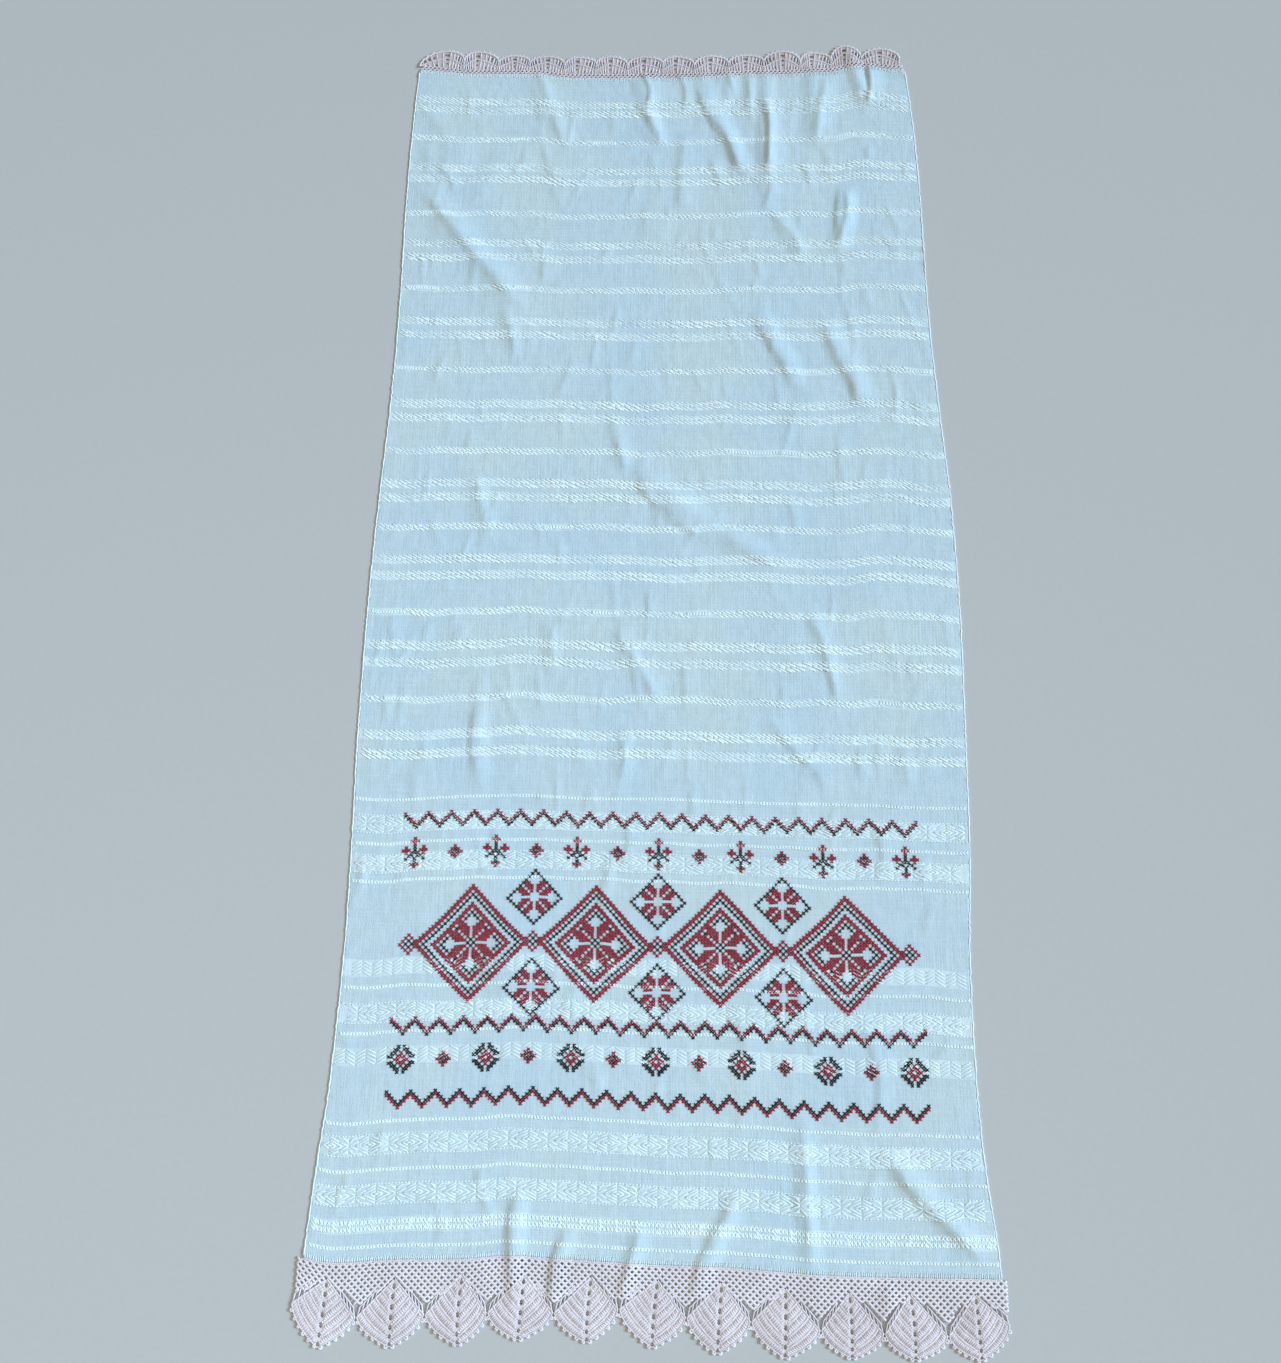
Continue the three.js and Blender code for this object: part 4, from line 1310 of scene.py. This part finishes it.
# Materials
class Finish:
    """A material and its nodes. A colour is four numbers or another node's output."""

    def __init__(self, name, roughness, sheen, tint):
        self.material = bpy.data.materials.new(name)
        self.material.use_nodes = True
        self.tree = self.material.node_tree
        self.shader = self.tree.nodes["Principled BSDF"]
        self.feed(self.shader, {
            "Roughness": roughness, "Sheen Weight": sheen, "Sheen Tint": tint, "Specular IOR Level": 0.25})
        self.place = self.node("ShaderNodeTexCoord").outputs["Object"]

    def feed(self, node, inputs):
        """Sets or links a node's inputs."""
        for key, value in inputs.items():
            if isinstance(value, bpy.types.NodeSocket):
                self.tree.links.new(value, node.inputs[key])
            else:
                node.inputs[key].default_value = value

    def node(self, kind, inputs=None, **settings):
        made = self.tree.nodes.new(kind)
        for key, value in settings.items():
            setattr(made, key, value)
        self.feed(made, inputs or {})
        return made

    def noise(self, grain, low, detail=2.0, shift=0.0):
        """Noise whose grain has its own size along each axis in millimetres. The value low gives 0."""
        mapping = self.node("ShaderNodeMapping", {
            "Vector": self.place, "Scale": [1 / (size * MM) for size in grain], "Location": (shift,) * 3})
        made = self.node("ShaderNodeTexNoise", {
            "Vector": mapping.outputs["Vector"], "Scale": 1.0, "Detail": detail})
        stretched = self.node("ShaderNodeMapRange", {
            "Value": made.outputs["Fac"], "From Min": low, "From Max": 1 - low})
        return stretched.outputs["Result"]

    def wave(self, direction, pitch, distortion, detail=1.0, detail_scale=0.4):
        """Even stripes, one for each pitch in millimetres."""
        made = self.node("ShaderNodeTexWave", {
            "Vector": self.place, "Scale": math.pi / (10 * pitch * MM), "Distortion": distortion,
            "Detail": detail, "Detail Scale": detail_scale}, bands_direction=direction)
        return made.outputs["Fac"]

    def sum(self, *terms):
        """Values times their weights, added up."""
        total = None
        for value, weight in terms:
            term = self.node("ShaderNodeMath", {0: value, 1: weight}, operation="MULTIPLY").outputs[0]
            if total is not None:
                term = self.node("ShaderNodeMath", {0: total, 1: term}, operation="ADD").outputs[0]
            total = term
        return total

    def blend(self, share, first, second):
        """A colour between two."""
        return self.node("ShaderNodeMix", {0: share, 6: first, 7: second}, data_type="RGBA").outputs[2]

    def colour(self, value):
        self.feed(self.shader, {"Base Color": value})

    def bump(self, height, depth):
        made = self.node("ShaderNodeBump", {"Height": height, "Distance": depth * MM, "Strength": 1.0})
        self.feed(self.shader, {"Normal": made.outputs["Normal"]})


def linen():
    """Hand-loomed linen: slubs along both threads, paler bands, soft blotches."""
    finish = Finish("linen", 0.86, 0.12, (0.8, 0.9, 1.0, 1))
    warp = finish.noise((0.7, 46, 5), 0.36, 3.0)
    slubs = finish.noise((40, 0.8, 5), 0.36, 3.0, 7.0)
    blotch = finish.noise((70, 90, 50), 0.35, 3.0, 3.0)
    patch = finish.noise((9, 12, 9), 0.35, 2.0, 5.0)
    grain = finish.noise((1.3, 1.3, 5), 0.3, 2.0, 9.0)
    ground = finish.blend(blotch, LINEN_COOL, LINEN_WARM)
    ground = finish.blend(finish.sum((warp, 0.3), (slubs, 0.26)), ground, LINEN_DEEP)
    ground = finish.blend(finish.sum((patch, 0.16)), ground, LINEN_PALE)
    band = finish.node("ShaderNodeAttribute", attribute_name="band").outputs["Fac"]
    finish.colour(finish.blend(band, ground, LINEN_BAND))
    weave = finish.sum((finish.wave("X", 0.55, 1.2), 0.35), (finish.wave("Y", 0.6, 1.2), 0.35),
                       (warp, 0.5), (slubs, 0.5), (patch, 1.4), (grain, 0.6))
    finish.bump(weave, 0.13)
    return finish.material


def cotton(name, light, deep, roughness, twist):
    """Cotton thread: a fine twist, and colour that varies from place to place."""
    finish = Finish(name, roughness, 0.1, (1.0, 0.95, 0.95, 1))
    broad = finish.noise((22, 22, 22), 0.35)
    fine = finish.noise((0.9, 0.9, 0.9), 0.3, 2.0, 4.0)
    finish.colour(finish.blend(finish.sum((broad, 0.5), (fine, 0.4)), light, deep))
    strands = finish.wave("DIAGONAL", twist, 1.5, 2.0, 1.0)
    finish.bump(finish.sum((strands, 0.6), (fine, 0.5)), 0.12)
    return finish.material


def floor_finish():
    finish = Finish("floor", 0.9, 0.0, (1.0, 1.0, 1.0, 1))
    grain = finish.noise((4, 4, 4), 0.3, 3.0)
    finish.colour(finish.blend(finish.sum((grain, 0.2)), FLOOR_LIGHT, FLOOR_DEEP))
    return finish.material


# Scene
def camera():
    """The photograph's view: its lens and its place over the towel."""
    down, turn, roll = CAMERA_DOWN, CAMERA_TURN, CAMERA_ROLL
    look = np.array([math.sin(turn) * math.cos(down), math.cos(turn) * math.cos(down), -math.sin(down)])
    right = np.cross(look, UP)
    right /= np.linalg.norm(right)
    top = np.cross(right, look)
    rolled_right = math.cos(roll) * right + math.sin(roll) * top
    rolled_top = math.cos(roll) * top - math.sin(roll) * right
    place = (np.array(CAMERA_PLACE) - MIDDLE) * MM
    lens = bpy.data.cameras.new("camera")
    lens.sensor_width = SENSOR
    lens.lens = PHOTO_FOCAL * SENSOR / max(PHOTO_SIZE)
    made = new_object("camera", lens)
    rows = np.column_stack([rolled_right, rolled_top, -look, place])
    made.matrix_world = Matrix([*rows.tolist(), (0, 0, 0, 1)])
    bpy.context.scene.camera = made


def lamp(name, kind, place, aim, strength, colour):
    """A lamp that shines from a place to another. Returns its light."""
    light = bpy.data.lights.new(name, kind)
    light.energy = strength
    light.color = colour
    made = new_object(name, light)
    made.location = place
    made.rotation_mode = "QUATERNION"
    made.rotation_quaternion = (Vector(place) - Vector(aim)).to_track_quat("Z", "Y")
    return light


def studio():
    """A pale floor, a low cool light from the right, a weak one over the near end, a warm one all round."""
    scene = bpy.context.scene
    scene.view_settings.view_transform = "Standard"
    scene.world = bpy.data.worlds.new("studio")
    scene.world.use_nodes = True
    scene.world.node_tree.nodes["Background"].inputs["Color"].default_value = AROUND
    lamp(*KEY_LAMP).angle = KEY_ANGLE
    lamp(*FILL_LAMP).size = FILL_SIZE
    bpy.ops.mesh.primitive_grid_add(x_subdivisions=2, y_subdivisions=2, size=FLOOR_SIZE)
    floor = bpy.context.object
    floor.name = "floor"
    floor.data.materials.append(floor_finish())


def towel():
    """Every piece of the towel."""
    cloth = Cloth()
    cells = embroidery()
    middle = CLOTH_LENGTH * UPPER_SHARE
    upper = [band for band in BANDS if band[0] > middle]
    lower = [band for band in BANDS if band[0] <= middle]

    linen_piece = make_piece("cloth", cloth.pile(), "linen")
    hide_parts("linen_cloth")
    band = np.zeros(len(linen_piece.data.vertices), np.float32)
    band[:cloth.band.size] = cloth.band.ravel()
    layer = linen_piece.data.attributes.new("band", "FLOAT", "POINT")
    layer.data.foreach_set("value", band)
    on_cloth = [
        thread_piece("upper_bands", "white_thread", lay_bands, 21, cloth, upper),
        thread_piece("lower_bands", "white_thread", lay_bands, 22, cloth, lower),
        thread_piece("red_stitches", "red_thread", lay_stitches, 23, cloth, cells, "r"),
        thread_piece("black_stitches", "black_thread", lay_stitches, 24, cloth, cells, "k"),
        thread_piece("hem_stitches", "white_thread", lay_hem_stitches, 31, cloth),
        thread_piece("selvedge_threads", "white_thread", lay_selvedge_threads, 32, cloth),
    ]

    # The leaf pads take a darker cotton than their stitches: painted shade between the posts and ribs.
    leaf_pads = make_piece("leaf_pads", leaf_pad_pile(), "pad_cotton_painted_shade")
    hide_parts("lower_lace")
    on_leaves = [
        thread_piece(name, "crochet_cotton", lay, seed) for name, lay, seed in (
            ("leaf_posts", lay_leaf_posts, 41), ("leaf_ribs", lay_leaf_ribs, 42),
            ("leaf_picots", lay_picots, 43), ("lower_net", lay_net, 44),
            ("leaf_fans", lay_fans, 45), ("foundation_chain", lay_foundation, 46))
    ]

    # The shell pads take the darkest cotton: painted shade between and under the shell posts.
    shell_pads = make_piece("shell_pads", shell_pad_pile(), "pad_cotton_painted_deep_shade")
    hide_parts("upper_lace")
    on_shells = [
        thread_piece("shell_posts", "crochet_cotton", lay_shell_posts, 51),
        thread_piece("upper_strip", "crochet_cotton", lay_strip, 52),
    ]


MATERIALS = {"linen": linen()}
for cotton_name, cotton_look in COTTONS.items():
    MATERIALS[cotton_name] = cotton(cotton_name, *cotton_look)
camera()
studio()
towel()
